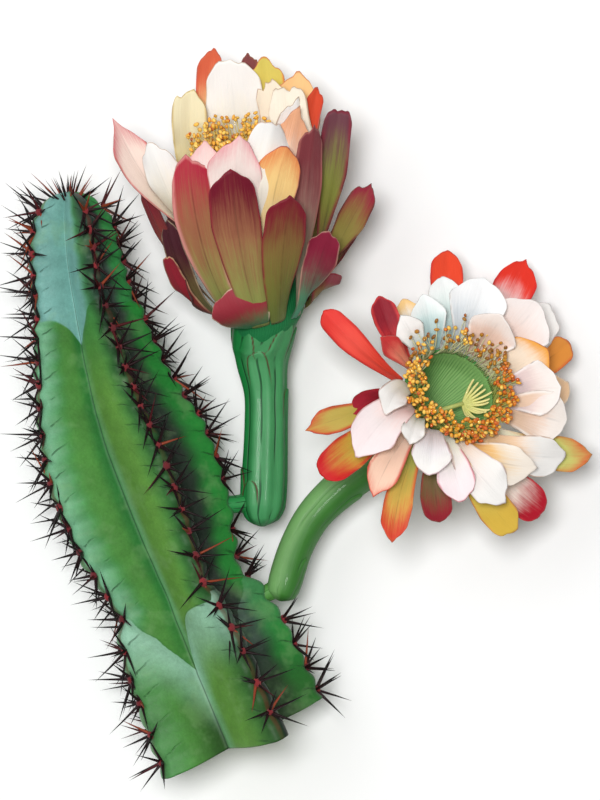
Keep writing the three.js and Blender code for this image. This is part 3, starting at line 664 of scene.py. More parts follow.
sideTube = {
    "line": [(-17.5, -53.4, 39, 2.5), (-17.5, -50, 39, 7.4), (-17.3, -44, 38.6, 10.2),
             (-16.6, -32, 38, 10.5), (-16, -12, 37, 9.9), (-16, 8, 36, 9.7), (-17.6, 24, 37, 12),
             (-16.9, 35, 39, 14.6)],
    "neck": [(-40, -44, 44, 4.4), (-20, -42, 40, 4.4)],
}
openTube = {
    "line": [(-9.5, -87.5, 46, 2.5), (-8.6, -84.5, 46, 6.6), (-6.8, -78, 45.5, 7.9),
             (-2, -63, 43.5, 7.9), (6, -48.5, 41.5, 8.2), (17.5, -36.5, 40.5, 8.8),
             (30.5, -26, 41.5, 9.5), (43.5, -14.5, 46, 11)],
    "neck": [(-24, -88, 44, 4.2), (-9, -81, 45, 4.2)],
}
sideHead = {
    "centre": Vector((-14.7, 45.5, 42)),
    "axis": Vector((-0.187, 0.863, 0.469)).normalized(),
    "quarter": Vector((0, 0, 1)),
    "rimRadius": 17,
    "cupHeight": 34,
    "cupRadius": 20,
    "throatDepth": 30,
}
openHead = {
    "centre": Vector((66, 4, 66)),
    "axis": Vector((0.375, 0.375, 0.848)).normalized(),
    "quarter": Vector((0, 1, 0)),
    "rimRadius": 19,
    "cupHeight": 9,
    "cupRadius": 23,
    "throatDepth": 27,
}
cupWall = 2
ringGap = 0.3


def headSpot(head, turn, radius, height):
    side = (Vector((1, 0, 0)) - head["axis"] * head["axis"].x).normalized()
    front = head["axis"].cross(side)
    if front.dot(head["quarter"]) < 0:
        front = -front
    angle = math.radians(turn)
    return head["centre"] + side * radius * math.cos(angle) + front * radius * math.sin(angle) \
        + head["axis"] * height


def tubeRadius(line, share):
    place = clamp(share) * (len(line) - 1)
    i = min(int(place), len(line) - 2)
    return lerp(line[i][3], line[i + 1][3], place - i)


def tubeGap(point, line, curve):
    return min((curve.at(i / 24) - point).length - tubeRadius(line, i / 24) for i in range(25))


grownLines = [
    (line, ThroughCurve([p[:3] for p in line]))
    for line in (sideTube["line"], openTube["line"], sideTube["neck"], openTube["neck"])
]


# Areoles and spines

spinePlan = {
    "rootRadius": 0.8,
    "long": (13, 20),
    "short": (7, 12),
    "stretch": 1.1,
    "lean": (38, 74),
    "turnJitter": 40,
    "tries": 6,
    "extra": 5,
    "extraLean": (30, 86),
    "extraLength": (10, 19),
    "sides": 6,
    "rows": (0, 0, 0.12, 0.55, 1),
    "taper": (0, 1.3, 1, 0.55, 0),
    "bend": 0.03,
    "darkFrom": 0.24,
    "seat": 0.8,
    "tuft": {"spines": 18, "lean": (12, 74), "spread": 9, "length": (12, 20), "root": 0.55, "depth": 4},
    "young": {"spines": 26, "lean": (5, 80), "spread": 10, "length": (8, 13), "root": 0.42, "depth": 4,
              "turn": 40},
}


def standsClear(start, tip, room):
    for share in (0.35, 0.6, 0.8, 1):
        point = start.lerp(tip, share)
        if any(tubeGap(point, *grown) <= room for grown in grownLines):
            return False
    return True


def addSpine(bm, root, tip, radius, colour, warmth):
    # a slender horn with a swollen foot, bent a little towards its tip
    axis = tip - root
    side = axis.cross(upward if abs(axis.normalized().z) < 0.9 else Vector((1, 0, 0))).normalized()
    bend = spinePlan["bend"] * axis.length * math.sin(warmth * 12 + root.x)
    centres, colours = [], []
    for share in spinePlan["rows"]:
        centres.append(root + axis * share + side * bend * (share * share - share))
        dark = ease(share, 0.0, spinePlan["darkFrom"]) * (1 - warmth)
        colours.append(mixTint(colour, tint(16, 9, 10), dark))
    radii = [radius * wide for wide in spinePlan["taper"]]
    sweep(bm, paint(bm, "spineTint"), centres, radii, spinePlan["sides"], colours)


def spineColour(draw, s):
    # nearly black, but for a few young ones in dull red or orange
    pick = draw()
    young = ease(s, 190, 250)
    if pick < 0.05 + 0.16 * young:
        return tint(150, 66, 40), 0.7
    if pick < 0.14 + 0.3 * young:
        return tint(84, 20, 26), 0.5
    return tint(46, 12, 18), 0.0


def buildSpines():
    bm = bmesh.new()
    pads = bmesh.new()
    for rib, turn in enumerate(stem["ribTurns"]):
        draw = seeded(211 + rib * 29)
        extraDraw = seeded(977 + rib * 31)
        for s in areoles[rib]:
            section = stemSection(s)
            centre = stemSpot(section, s, turned2d(ribHeight(s) - areolePlan["inset"], turn))
            outward = (centre - section[0]).normalized()
            if any(tubeGap(centre, *grown) <= areolePlan["clearance"] for grown in grownLines):
                continue
            tangent = section[1]
            across = outward.cross(tangent).normalized()
            addPad(pads, centre, outward, tangent, across, extraDraw)
            turnStart = draw() * 360
            for i in range(3):
                for attempt in range(spinePlan["tries"]):
                    angle = math.radians(turnStart + 120 * i + spinePlan["turnJitter"] * (draw() - 0.5))
                    lean = math.radians(between(draw, spinePlan["lean"]))
                    length = between(draw, spinePlan["long"] if i < 2 else spinePlan["short"])
                    placed = addLeaning(
                        bm, centre, outward, across, tangent, (angle, lean, length), 1, extraDraw, s)
                    if placed:
                        break
            for i in range(spinePlan["extra"]):
                angle = math.radians(turnStart + 60 + 360 / spinePlan["extra"] * (i + extraDraw() * 0.7))
                lean = math.radians(between(extraDraw, spinePlan["extraLean"]))
                length = between(extraDraw, spinePlan["extraLength"])
                addLeaning(
                    bm, centre, outward, across, tangent, (angle, lean, length), 1.2, extraDraw, s)
    addTuft(bm)
    return bm, pads


def addLeaning(bm, centre, outward, across, tangent, plan, room, draw, s):
    angle, lean, length = plan
    direction = outward * math.cos(lean) + across * math.sin(lean) * math.cos(angle) \
        + tangent * math.sin(lean) * math.sin(angle)
    tip = centre + direction * length * spinePlan["stretch"]
    tip.z = max(tip.z, areolePlan["floor"])
    if not standsClear(centre, tip, room):
        return False
    colour, warmth = spineColour(draw, s)
    root = centre + (direction - outward) * spinePlan["seat"]
    addSpine(bm, root, tip, spinePlan["rootRadius"] * lerp(0.75, 1.0, draw()), colour, warmth)
    return True


def addPad(pads, centre, outward, tangent, across, draw):
    # the felted cushion that the spines grow from
    tints = paint(pads, "spineTint")
    size = areolePlan["padRadius"] * lerp(0.85, 1.15, draw())
    made = bmesh.ops.create_icosphere(pads, subdivisions=2, radius=1.0)
    shade = mixTint(tint(92, 18, 26), tint(140, 34, 40), draw())
    for vert in made["verts"]:
        x, y, z = vert.co
        bumpy = 1 + 0.12 * noise.noise(Vector((x, y, z)) * 3 + centre)
        spot = centre + (tangent * x * 1.2 + across * y + outward * (z * 0.8 + 0.1)) * size * bumpy
        # painted shade: darker on the lower half, towards the stem
        vert[tints] = mixTint(shade, tint(70, 12, 22), 0.5 * ease(-z, -0.2, 0.8))
        vert.co = sceneSpot(spot)


def addTuft(bm):
    plan = spinePlan["tuft"]
    draw = seeded(77)
    colourDraw = seeded(505)
    centre, tangent, right, rise = stemSection(stemCurve.length)
    for i in range(plan["spines"]):
        share = i / plan["spines"]
        turn = math.radians(i * goldenTurn)
        lean = math.radians(lerp(*plan["lean"], share))
        side = right * math.cos(turn) + rise * math.sin(turn)
        direction = tangent * math.cos(lean) + side * math.sin(lean)
        root = centre - tangent * plan["depth"] + side * plan["spread"] * share
        tip = root + direction * between(draw, plan["length"])
        colour, warmth = spineColour(colourDraw, stemCurve.length)
        addSpine(bm, root, tip, plan["root"], colour, warmth)
    plan = spinePlan["young"]
    for i in range(plan["spines"]):
        # shorter young spines crowd between them
        share = (i + 0.5) / plan["spines"]
        turn = math.radians(i * goldenTurn + plan["turn"])
        lean = math.radians(lerp(*plan["lean"], share))
        side = right * math.cos(turn) + rise * math.sin(turn)
        direction = tangent * math.cos(lean) + side * math.sin(lean)
        root = centre - tangent * plan["depth"] + side * plan["spread"] * share
        colour, warmth = spineColour(colourDraw, stemCurve.length)
        tip = root + direction * between(colourDraw, plan["length"])
        addSpine(bm, root, tip, plan["root"], colour, warmth)


def spineFinish():
    f = Finish("dark horn")
    base, _ = f.painted("spineTint")
    streak = f.grain(900, 2, 0.6)
    f.skin(Base_Color=f.shaded(base, 0.7 + streak * 0.6), Roughness=0.4 + streak * 0.25)
    f.skin(Specular_IOR_Level=0.22)
    f.relief(streak, 0.0002, 0.5)
    return f


def feltFinish():
    f = Finish("crimson felt")
    base, _ = f.painted("spineTint")
    tuftGrain = f.grain(1500, 3, 0.7)
    clump = f.grain(420, 2, 0.5)
    colour = f.blend(tuftGrain.ease(0.6, 0.8) * 0.25, f.shaded(base, 0.5 + clump * 0.9), tint(190, 90, 76))
    f.skin(Base_Color=colour, Roughness=0.75 + clump * 0.2)
    f.skin(Sheen_Weight=0.12, Sheen_Roughness=0.4)
    f.relief(tuftGrain, 0.0006, 0.9)
    return f


spineMesh, padMesh = buildSpines()
spinePiece = finishedPiece("stem_spines", spineMesh, [spineFinish()], ["stem"], doubles=1e-7)
padPiece = finishedPiece("stem_areoles", padMesh, [feltFinish()], ["stem"])
print("spines", len(spinePiece.data.polygons), "areoles", len(padPiece.data.polygons))


# Tubes with the scales that run down them, and the cup that holds the petals

# scales: place along the tube, turn round it, length, width
sideTube["scales"] = [
    (0.654, 100, 44, 10), (0.734, 10, 30, 9), (0.54, 5, 30, 9), (0.33, 172, 20, 8), (0.74, 150, 56, 20),
    (0.8, 250, 40, 14), (0.8, 60, 34, 13), (0.24, 128, 24, 9), (0.7, 205, 50, 14), (0.72, 320, 50, 14),
]
sideTube["ridges"] = 9
sideTube["ridgeHeight"] = 0.38
openTube["scales"] = [
    (0.28, 35, 18, 6), (0.6, 20, 22, 7), (0.5, 250, 22, 8), (0.78, 150, 26, 9), (0.88, 60, 20, 8),
]
openTube["ridges"] = 5
openTube["ridgeHeight"] = 0.16
tubePlan = {
    "around": 120, "rows": 190, "neckSides": 24, "scaleHeight": 0.8, "footRound": 1.6,
    "scaleEdge": 1.1, "scaleLine": 0.6, "smallest": 6,
    # the last part turns to face along the flower's own axis and ends inside its cup
    "facing": (0.74, 0.9), "end": 0.978,
}


def smoothRadius(line, share):
    # like tubeRadius, but easing from one radius to the next
    place = clamp(share) * (len(line) - 1)
    i = min(int(place), len(line) - 2)
    radii = [line[clamp(k, 0, len(line) - 1)][3] for k in (i - 1, i, i + 1, i + 2)]
    w = place - i
    before, after = (radii[2] - radii[0]) / 2, (radii[3] - radii[1]) / 2
    leaving = (radii[1] * (1 + 2 * w) + before * w) * (1 - w) ** 2
    return leaving + (radii[2] * (3 - 2 * w) - after * (1 - w)) * w * w


def arcPlace(curve, share):
    place = clamp(share) * curveSteps
    i = min(int(place), curveSteps - 1)
    return lerp(curve.marks[i], curve.marks[i + 1], place - i)


def scaleRelief(tube, curve, radius, share, turn):
    # height over the tube's skin, and how near the edge of a scale the spot is
    height, edge = 0.0, 0.0
    here = arcPlace(curve, share)
    for place, middle, size, width in tube["scales"]:
        q = (here - arcPlace(curve, place)) / size + 0.5
        if not 0 < q < 1.04:
            continue
        away = (turn - middle + 180) % 360 - 180
        off = abs(math.radians(away) * radius)
        half = width / 2 * math.sqrt(max(0, 1 - q ** 7))
        inside = (half - off) / tubePlan["scaleEdge"]
        if inside > 0:
            height = max(height, ease(inside, 0, 1) * (0.12 + 0.88 * q * q))
        if half > 0:
            nearEdge = math.exp(-(((half - off) / tubePlan["scaleLine"]) ** 2))
            edge = max(edge, nearEdge * ease(q, 0.25, 0.75))
    return height, edge


def buildTube(tube, head):
    # the shaft, closed and rounded at its foot
    line = tube["line"] + [(*head["centre"], head["rimRadius"] - 1)]
    curve = ThroughCurve([p[:3] for p in line])
    around, rows = tubePlan["around"], tubePlan["rows"]
    bm = bmesh.new()
    tints = paint(bm, "skinTint")
    marks = {}
    frames = {}

    def spotAt(u, v):
        column, row = round(u * around) % around, round(v * rows)
        v *= tubePlan["end"]
        if row not in frames:
            tangent = curve.tangent(v).lerp(head["axis"], ease(v, *tubePlan["facing"])).normalized()
            right = tangent.cross(upward).normalized()
            foot = min(1, arcPlace(curve, v) / tubePlan["footRound"])
            radius = smoothRadius(line, v) * math.sqrt(max(0, 1 - (1 - foot) ** 2))
            frames[row] = curve.at(v), right, right.cross(tangent), radius, foot
        centre, right, rise, radius, foot = frames[row]
        turn = column * 360 / around
        height, edge = scaleRelief(tube, curve, max(radius, tubePlan["smallest"]), v, turn)
        marks[(column, row)] = (height, edge, turn)
        ridge = tube["ridgeHeight"] * math.cos(math.radians(turn * tube["ridges"])) * ease(radius, 3, 8)
        radius += (height * tubePlan["scaleHeight"] + ridge) * foot
        out = right * math.cos(math.radians(turn)) + rise * math.sin(math.radians(turn))
        return centre + out * radius

    verts, faces, shares = gridOver(bm, around, rows, spotAt)
    for vert in verts:
        u, v = shares[vert]
        height, edge, turn = marks[(round(u * around) % around, round(v * rows))]
        vert[tints] = (*tubeTint(tube, v, turn, height)[:3], edge)
    addNeck(bm, tints, tube)
    return bm


def addNeck(bm, tints, tube):
    # the short neck that joins the tube's foot to the rib
    (x0, y0, z0, r0), (x1, y1, z1, r1) = tube["neck"]
    start, end = Vector((x0, y0, z0)), Vector((x1, y1, z1))
    shares = [0, 0, 0.25, 0.5, 0.75, 1, 1]
    radii = [r0 * wide for wide in (0, 1.1, 1, 0.94, 1, 1.05, 0)]
    colour = (*tube["greens"][1][:3], 0)
    sides = tubePlan["neckSides"]
    sweep(bm, tints, [start.lerp(end, share) for share in shares], radii, sides, [colour] * len(shares))


def tubeTint(tube, share, turn, height):
    deep, leaf, pale = tube["greens"]
    # painted light: lighter on the side turned to the light, with a pale painted highlight there, and
    # darker where no scale rises
    light = ease(math.sin(math.radians(turn + tube["lightTurn"])), -0.1, 1.0)
    colour = mixTint(deep, leaf, 0.2 + 0.8 * light)
    colour = mixTint(colour, pale, tube["bloom"] * ease(light, 0.55, 1.0))
    return mixTint(colour, deep, 0.3 * (1 - min(1, height)))


sideTube["greens"] = (tint(10, 108, 48), tint(36, 134, 66), tint(92, 164, 112))
sideTube["lightTurn"] = 8
sideTube["bloom"] = 0.65
openTube["greens"] = (tint(44, 106, 34), tint(78, 138, 60), tint(134, 182, 116))
openTube["lightTurn"] = -58
openTube["bloom"] = 0.8


def tubeFinish(name, ridges, lineTint, lineStrength):
    f = Finish(name)
    base, edge = f.painted("skinTint")
    cloud = f.grain(80, 4, 0.55)
    around, along = f.sheet("sheet")
    fibre = f.grain(1.0, 3, 0.6, f.joined(around * 90, along * 9))
    # painted shade: fine dark lines follow the hollows between the ridges, broken along their length
    drift = (f.grain(1.0, 1, 0.5, f.joined(along * 5, 0.3)) - 0.5) * 0.5
    furrow = abs((around * ridges + drift).turn() - 0.5)
    cut = f.grain(1.0, 2, 0.5, f.joined(around * ridges * 0.9, along * 4, 3.0))
    seam = (1 - furrow.ease(0.02, 0.09)) * cut.ease(0.42, 0.52)
    colour = f.shaded(base, 0.78 + cloud * 0.4)
    colour = f.shaded(colour, 0.86 + fibre * 0.28)
    line = (edge.ease(0.35, 0.95) * (0.55 + cloud * 0.8)).least(1.0)
    colour = f.blend(seam * lineStrength[0], colour, lineTint[0])
    colour = f.blend(line * lineStrength[1], colour, lineTint[1])
    f.skin(Base_Color=colour, Roughness=0.42 + fibre * 0.2)
    f.skin(Specular_IOR_Level=0.32, Coat_Weight=0.05)
    f.relief(fibre * 0.4 + cloud * 0.4 - line * 0.4 - seam * 0.6, 0.0006, 0.7)
    return f


cupPlan = {
    "around": 120,
    "rows": 90,
    # the foot is hidden in the tube: how far under the rim it starts, and its smallest depth
    "footStart": -7.4,
    "footDepth": -8,
    "footRoom": 1.2,
    # rim and lip: millimetres in from the radius and below the mouth
    "shoulder": [(3, -7.4), (1.2, -4), (0, 0)],
    "lip": [(0, -0.8), (0.4, -0.1), (1.2, 0.1)],
    # the throat narrows like a bowl: share of the mouth's radius against share of its depth
    "bowl": [(0.95, 0.17), (0.87, 0.36), (0.74, 0.56), (0.57, 0.74), (0.36, 0.88), (0.16, 0.95),
             (0.002, 0.97)],
    "darkTurn": 200,
    "stripes": 84,
}


def buildCup(tube, head, cupTints):
    # turned about the head's axis: foot, wall, mouth, throat; below the rim it bends with the tube
    below = Vector(tube["line"][-1][:3]) - head["centre"]
    lean = below / -below.dot(head["axis"]) + head["axis"]
    bm = bmesh.new()
    tints = paint(bm, "skinTint")
    rim, mouth = head["rimRadius"], head["cupRadius"]
    top, bottom = head["cupHeight"], head["cupHeight"] - head["throatDepth"]
    wall = mouth - cupWall
    foot = min(cupPlan["footDepth"], bottom - cupPlan["footRoom"])
    footRadius = rim - cupPlan["shoulder"][0][0]
    outline = []
    for turn in (90, 60, 30):
        angle = math.radians(turn)
        outline.append((footRadius * math.cos(angle), lerp(cupPlan["footStart"], foot, math.sin(angle))))
    outline += [(rim - less, height) for less, height in cupPlan["shoulder"]]
    outline.append((lerp(rim, mouth, 0.5), top * 0.5))
    outline += [(mouth - less, top + above) for less, above in cupPlan["lip"]]
    outline.append((wall, top - 0.6))
    lip = len(outline) - 1
    outline += [(wall * narrowed, lerp(top, bottom, sunk)) for narrowed, sunk in cupPlan["bowl"]]
    profile = ThroughCurve([(r, h, 0) for r, h in outline])
    around, rows = cupPlan["around"], cupPlan["rows"]
    throatStart = lip / (len(outline) - 1)

    def spotAt(u, v):
        p = profile.at(v)
        turn = (round(u * around) % around) * 360 / around
        return headSpot(head, turn, max(0.02, p.x), p.y) + lean * max(0, -p.y)

    verts, faces, shares = gridOver(bm, around, rows, spotAt)
    outer, throat, deep = cupTints
    for vert in verts:
        u, v = shares[vert]
        inside = clamp((v - throatStart) / (1 - throatStart))
        colour = outer
        if inside > 0:
            # painted shade: the throat is darkest low on its left side
            away = 0.5 + 0.5 * math.cos(math.radians(u * 360 - cupPlan["darkTurn"]))
            dark = 1.3 * ease(inside, 0.0, 0.5) * away ** 2 * (1 - 0.5 * ease(inside, 0.6, 1.0))
            dark = clamp(dark)
            colour = mixTint(throat, deep, dark)
        vert[tints] = (*colour[:3], inside)
    return bm


def throatFinish():
    f = Finish("green throat")
    base, inside = f.painted("skinTint")
    around, along = f.sheet("sheet")
    wobble = f.grain(1.0, 2, 0.5, f.joined(around * 30, along * 6))
    stripe = (around * 2 * math.pi * cupPlan["stripes"] + wobble * 5).wave() * 0.5 + 0.5
    fine = f.grain(1.0, 2, 0.6, f.joined(around * 300, along * 9))
    cloud = f.grain(90, 3, 0.5)
    dark = stripe.ease(0.62, 0.95) * inside.ease(0.04, 0.2) * fine.ease(0.35, 0.6)
    colour = f.shaded(base, 0.82 + fine * 0.2 + cloud * 0.16)
    colour = f.blend(dark * 0.55, colour, tint(40, 92, 36))
    pale = (1 - stripe.ease(0.05, 0.3)) * inside.ease(0.04, 0.2) * fine.ease(0.4, 0.7)
    colour = f.blend(pale * 0.35, colour, tint(176, 200, 140))
    f.skin(Base_Color=colour, Roughness=0.5 + fine * 0.2, Specular_IOR_Level=0.25)
    f.relief(stripe * 0.6 + fine * 0.4, 0.0004, 0.5)
    return f


def mergeInto(bm, other):
    # two meshes made apart become one
    spare = bpy.data.meshes.new("spare")
    other.to_mesh(spare)
    other.free()
    bm.from_mesh(spare)
    bpy.data.meshes.remove(spare)


def tubePiece(node, tube, head, finish, cupTints):
    shaft = buildTube(tube, head)
    cup = buildCup(tube, head, cupTints)
    for bm in (shaft, cup):
        bmesh.ops.remove_doubles(bm, verts=bm.verts, dist=1e-6)
        bmesh.ops.recalc_face_normals(bm, faces=bm.faces)
    for face in cup.faces:
        face.material_index = 1
    mergeInto(shaft, cup)
    return finishedPiece(node + "_skin", shaft, [finish, throatFinish()], [node])


# the last of each tube's cup tints is the painted shade deep in its throat, and its first line tint is the
# painted shade in its furrows
sideTubePiece = tubePiece(
    "side_flower_tube", sideTube, sideHead,
    tubeFinish("ridged teal tube", 9, (tint(14, 50, 28), tint(84, 30, 26)), (0.8, 0.95)),
    (tint(30, 118, 66), tint(170, 190, 110), tint(60, 110, 50)))
openTubePiece = tubePiece(
    "open_flower_tube", openTube, openHead,
    tubeFinish("smooth green tube", 5, (tint(30, 84, 36), tint(32, 80, 34)), (0.2, 0.5)),
    (tint(70, 136, 66), tint(126, 172, 100), tint(10, 112, 48)))
print("tubes", len(sideTubePiece.data.polygons), len(openTubePiece.data.polygons))


# Petals: tip from the head's middle, turn of the root round the rim, width, lift of the root, colours

cream = (242, 234, 214)
white = (240, 237, 233)
ivory = (240, 231, 212)


def blade(tip, root, width, lift, turn, point, base, body, end, edge, **more):
    # place and shape first, then the colours from the root to the tip and along the edge
    spec = {"tip": tip, "root": root, "width": width, "lift": lift, "turn": turn, "point": point,
            "base": base, "body": body, "end": end, "edge": edge,
            "endStart": 0.72, "edgeWidth": 0.1, "ruffle": 0.5, "streak": 0.6, "waist": 1, "cup": 0.2,
            "fold": 0.45, "mucro": 0.006}
    spec.update(more)
    return spec


darkTip = {"endStart": 0.76, "edgeWidth": 0.12, "ruffle": 0.3, "streak": 1.0, "mucro": 0.016}
sideOuterTepals = [
    # the first tepal's pale pink margin is partly its own colour and partly a painted highlight on its
    # ruffled top
    blade((-36, 72, 58), 130, 22, 64, 40, 0.3, (150, 158, 84), (158, 98, 70), (176, 38, 62),
          (220, 146, 140), endStart=0.88, edgeWidth=0.16, ruffle=0.7, streak=1.3, mucro=0),
    blade((-17, 65, 68), 98, 24, 66, 11, 0.15, (152, 160, 84), (156, 102, 72), (108, 14, 36), (140, 36, 50),
          endStart=0.82, edgeWidth=0.08, ruffle=0.3, streak=1.1, mucro=0.014),
    blade((10, 53, 61), 72, 21, 60, -22, 0.15, (110, 120, 48), (126, 100, 52), (116, 18, 36), (136, 34, 46),
          endStart=0.84, edgeWidth=0.08, ruffle=0.35, streak=1.1, mucro=0.014),
    blade((21, 86, 49), 36, 15, 74, -50, 0.35, (150, 150, 120), (150, 106, 98), (120, 50, 56),
          (170, 100, 92), endStart=0.74, edgeWidth=0.1, ruffle=0.4, streak=1.0, mucro=0.016),
    blade((33, 94, 36), 10, 15, 66, 70, 0.05, (100, 40, 42), (132, 140, 60), (104, 56, 66), (130, 40, 56),
          endStart=0.8, edgeWidth=0.14, ruffle=0.5, streak=1.0, waist=2.2),
    blade((48, 60, 26), 6, 14, 54, 68, 0.2, (150, 146, 80), (136, 124, 60), (140, 26, 50), (120, 60, 50),
          endStart=0.86, edgeWidth=0.08, ruffle=0.5, streak=1.0, waist=1.7, mucro=0.04),
    blade((28, 37, 45), 46, 16, 48, -55, 0.08, (60, 150, 110), (118, 66, 66), (128, 26, 52),
          (196, 150, 130), endStart=0.72, edgeWidth=0.05, ruffle=0.7, streak=1.0, waist=1.3),
    blade((29, 18, 31), 16, 13, 36, -60, 0.1, (120, 110, 50), (130, 90, 50), (150, 40, 60), (130, 36, 50),
          endStart=0.66, edgeWidth=0.14, ruffle=0.3, streak=0.7),
    blade((-17, 12, 32), 104, 31, 22, 25, 0.05, (34, 122, 74), (138, 36, 48), (150, 50, 60),
          (236, 206, 180), endStart=0.8, edgeWidth=0.06, ruffle=1.0),
    blade((-46, 26, 36), 166, 8, 34, 46, 0.5, (120, 60, 50), (136, 30, 40), (150, 34, 50), (224, 180, 140),
          endStart=0.6, edgeWidth=0.05, ruffle=0.7),
    blade((-46, 43, 25), 156, 12, 42, 55, 0.5, (104, 104, 56), (92, 62, 44), (70, 26, 36), (180, 160, 130),
          endStart=0.7, edgeWidth=0.05, ruffle=0.2, streak=0.9, cup=0.05),
    blade((-57.5, 58, 28), 174, 10, 56, 54, 0.6, (150, 130, 86), (140, 70, 56), (122, 36, 46),
          (120, 50, 50), endStart=0.74, edgeWidth=0.12, ruffle=0.2, streak=0.9, cup=0.05),
    blade((-38, 16, 24), 172, 10, 26, -35, 0.6, (30, 140, 100), (50, 110, 80), (84, 36, 42), (96, 50, 44),
          endStart=0.6, edgeWidth=0.12, ruffle=0.6, streak=0.6),
    blade((-50, 60, 4), 206, 20, 58, 11, 0.3, (136, 140, 78), (128, 92, 66), (104, 26, 46), (130, 50, 56),
          **darkTip),
    blade((-34, 80, -9), 236, 22, 58, 11, 0.3, (140, 146, 82), (136, 92, 72), (92, 22, 42), (120, 44, 52),
          **darkTip),
    blade((-12, 56, -26), 264, 20, 36, 11, 0.3, (96, 136, 84), (122, 76, 56), (112, 28, 50), (150, 60, 60),
          **darkTip),
    blade((6, 90, -15), 286, 22, 58, 11, 0.3, (146, 150, 84), (140, 98, 74), (88, 20, 40), (116, 42, 50),
          **darkTip),
    blade((31, 76, -4), 314, 22, 58, 11, 0.3, (140, 138, 74), (126, 92, 56), (98, 24, 44), (120, 44, 52),
          **darkTip),
    blade((42, 46, 4), 340, 19, 38, 11, 0.3, (112, 134, 80), (124, 84, 54), (112, 28, 50), (134, 50, 54),
          **darkTip),
]
sideInnerPetals = [
    blade((-71, 89, 36), 178, 19, 54, -45, 0.7, (240, 232, 200), (242, 218, 206), (196, 60, 84),
          (222, 110, 110), endStart=1.0, edgeWidth=0.07, ruffle=0.3, streak=0.8, mucro=0.04),
    blade((-54, 78, 46), 158, 18, 62, 60, 0.3, (226, 212, 160), ivory, white, (216, 196, 176),
          endStart=0.8, edgeWidth=0.05, ruffle=0.8),
    blade((-29, 78, 60), 126, 20, 76, 35, 0.5, cream, (243, 234, 226), (238, 168, 168), (232, 180, 176),
          endStart=0.98, edgeWidth=0.06, ruffle=0.6),
    blade((-13, 81, 64), 100, 26, 78, 5, 0.5, ivory, (243, 226, 218), (232, 140, 150), (232, 170, 168),
          endStart=1.0, edgeWidth=0.05, ruffle=0.7),
    blade((3, 88, 56), 76, 24, 76, -35, 0.1, (244, 236, 220), (240, 232, 216), white, (226, 196, 176),
          endStart=0.8, edgeWidth=0.05, ruffle=0.8),
    blade((9, 76, 57), 66, 22, 74, -45, 0.3, (240, 226, 180), (238, 200, 130), (226, 134, 76),
          (186, 44, 50), endStart=0.94, edgeWidth=0.05, ruffle=0.4, streak=1.1),
    blade((14.5, 94, 46), 48, 18, 76, -60, 0.5, (240, 232, 216), (241, 224, 206), (234, 170, 130),
          (222, 150, 120), endStart=0.8, edgeWidth=0.05, ruffle=0.8),
    blade((13, 98, 36), 26, 22, 76, -60, 0.1, cream, (238, 232, 218), white, (216, 196, 170),
          ruffle=1.1, edgeWidth=0.05),
    blade((23, 104, 30), 12, 9, 76, 60, 0.7, (240, 214, 180), (232, 150, 90), (206, 70, 40), (200, 60, 40),
          endStart=0.6, edgeWidth=0.1, ruffle=0.4),
    blade((8, 105, 34), 4, 20, 76, 60, 0.1, cream, (238, 230, 214), (236, 226, 208), (214, 186, 156),
          ruffle=1.2, edgeWidth=0.05),
    blade((-2, 107, 30), -20, 18, 74, 50, 0.3, cream, (238, 230, 212), (236, 222, 200), (214, 180, 150),
          ruffle=1.2, edgeWidth=0.06),
    blade((13, 111, 24), -24, 24, 74, 45, 0.3, (240, 224, 184), (240, 214, 170), (236, 190, 130),
          (222, 130, 80), ruffle=0.8, edgeWidth=0.08),
    blade((-2, 118, 16), -62, 19, 72, 25, 0.3, (226, 218, 140), (204, 196, 100), (208, 190, 90),
          (222, 120, 60), edgeWidth=0.08, ruffle=0.8, cup=0.0),
    blade((-9, 119.5, 13), -78, 10, 72, 17, 0.3, (160, 110, 90), (150, 90, 90), (120, 60, 60),
          (140, 80, 60), edgeWidth=0.1, ruffle=0.5, cup=0.0),
    blade((-17.5, 117, 21), -92, 28, 72, 6, 0.1, (214, 200, 150), (236, 230, 212), white, (222, 208, 186),
          ruffle=0.6, edgeWidth=0.04, streak=0.5, cup=0.1, fold=0.2),
    blade((-25, 123, 16), -120, 14, 72, -10, 0.7, (226, 206, 150), (232, 196, 140), (206, 92, 60),
          (206, 84, 60), endStart=0.78, edgeWidth=0.08, ruffle=0.5, cup=0.0),
    blade((-36, 103, 24), -146, 18, 70, -30, 0.2, (222, 206, 150), (226, 212, 160), (234, 224, 186),
          (216, 190, 120), edgeWidth=0.08, ruffle=0.9),
]
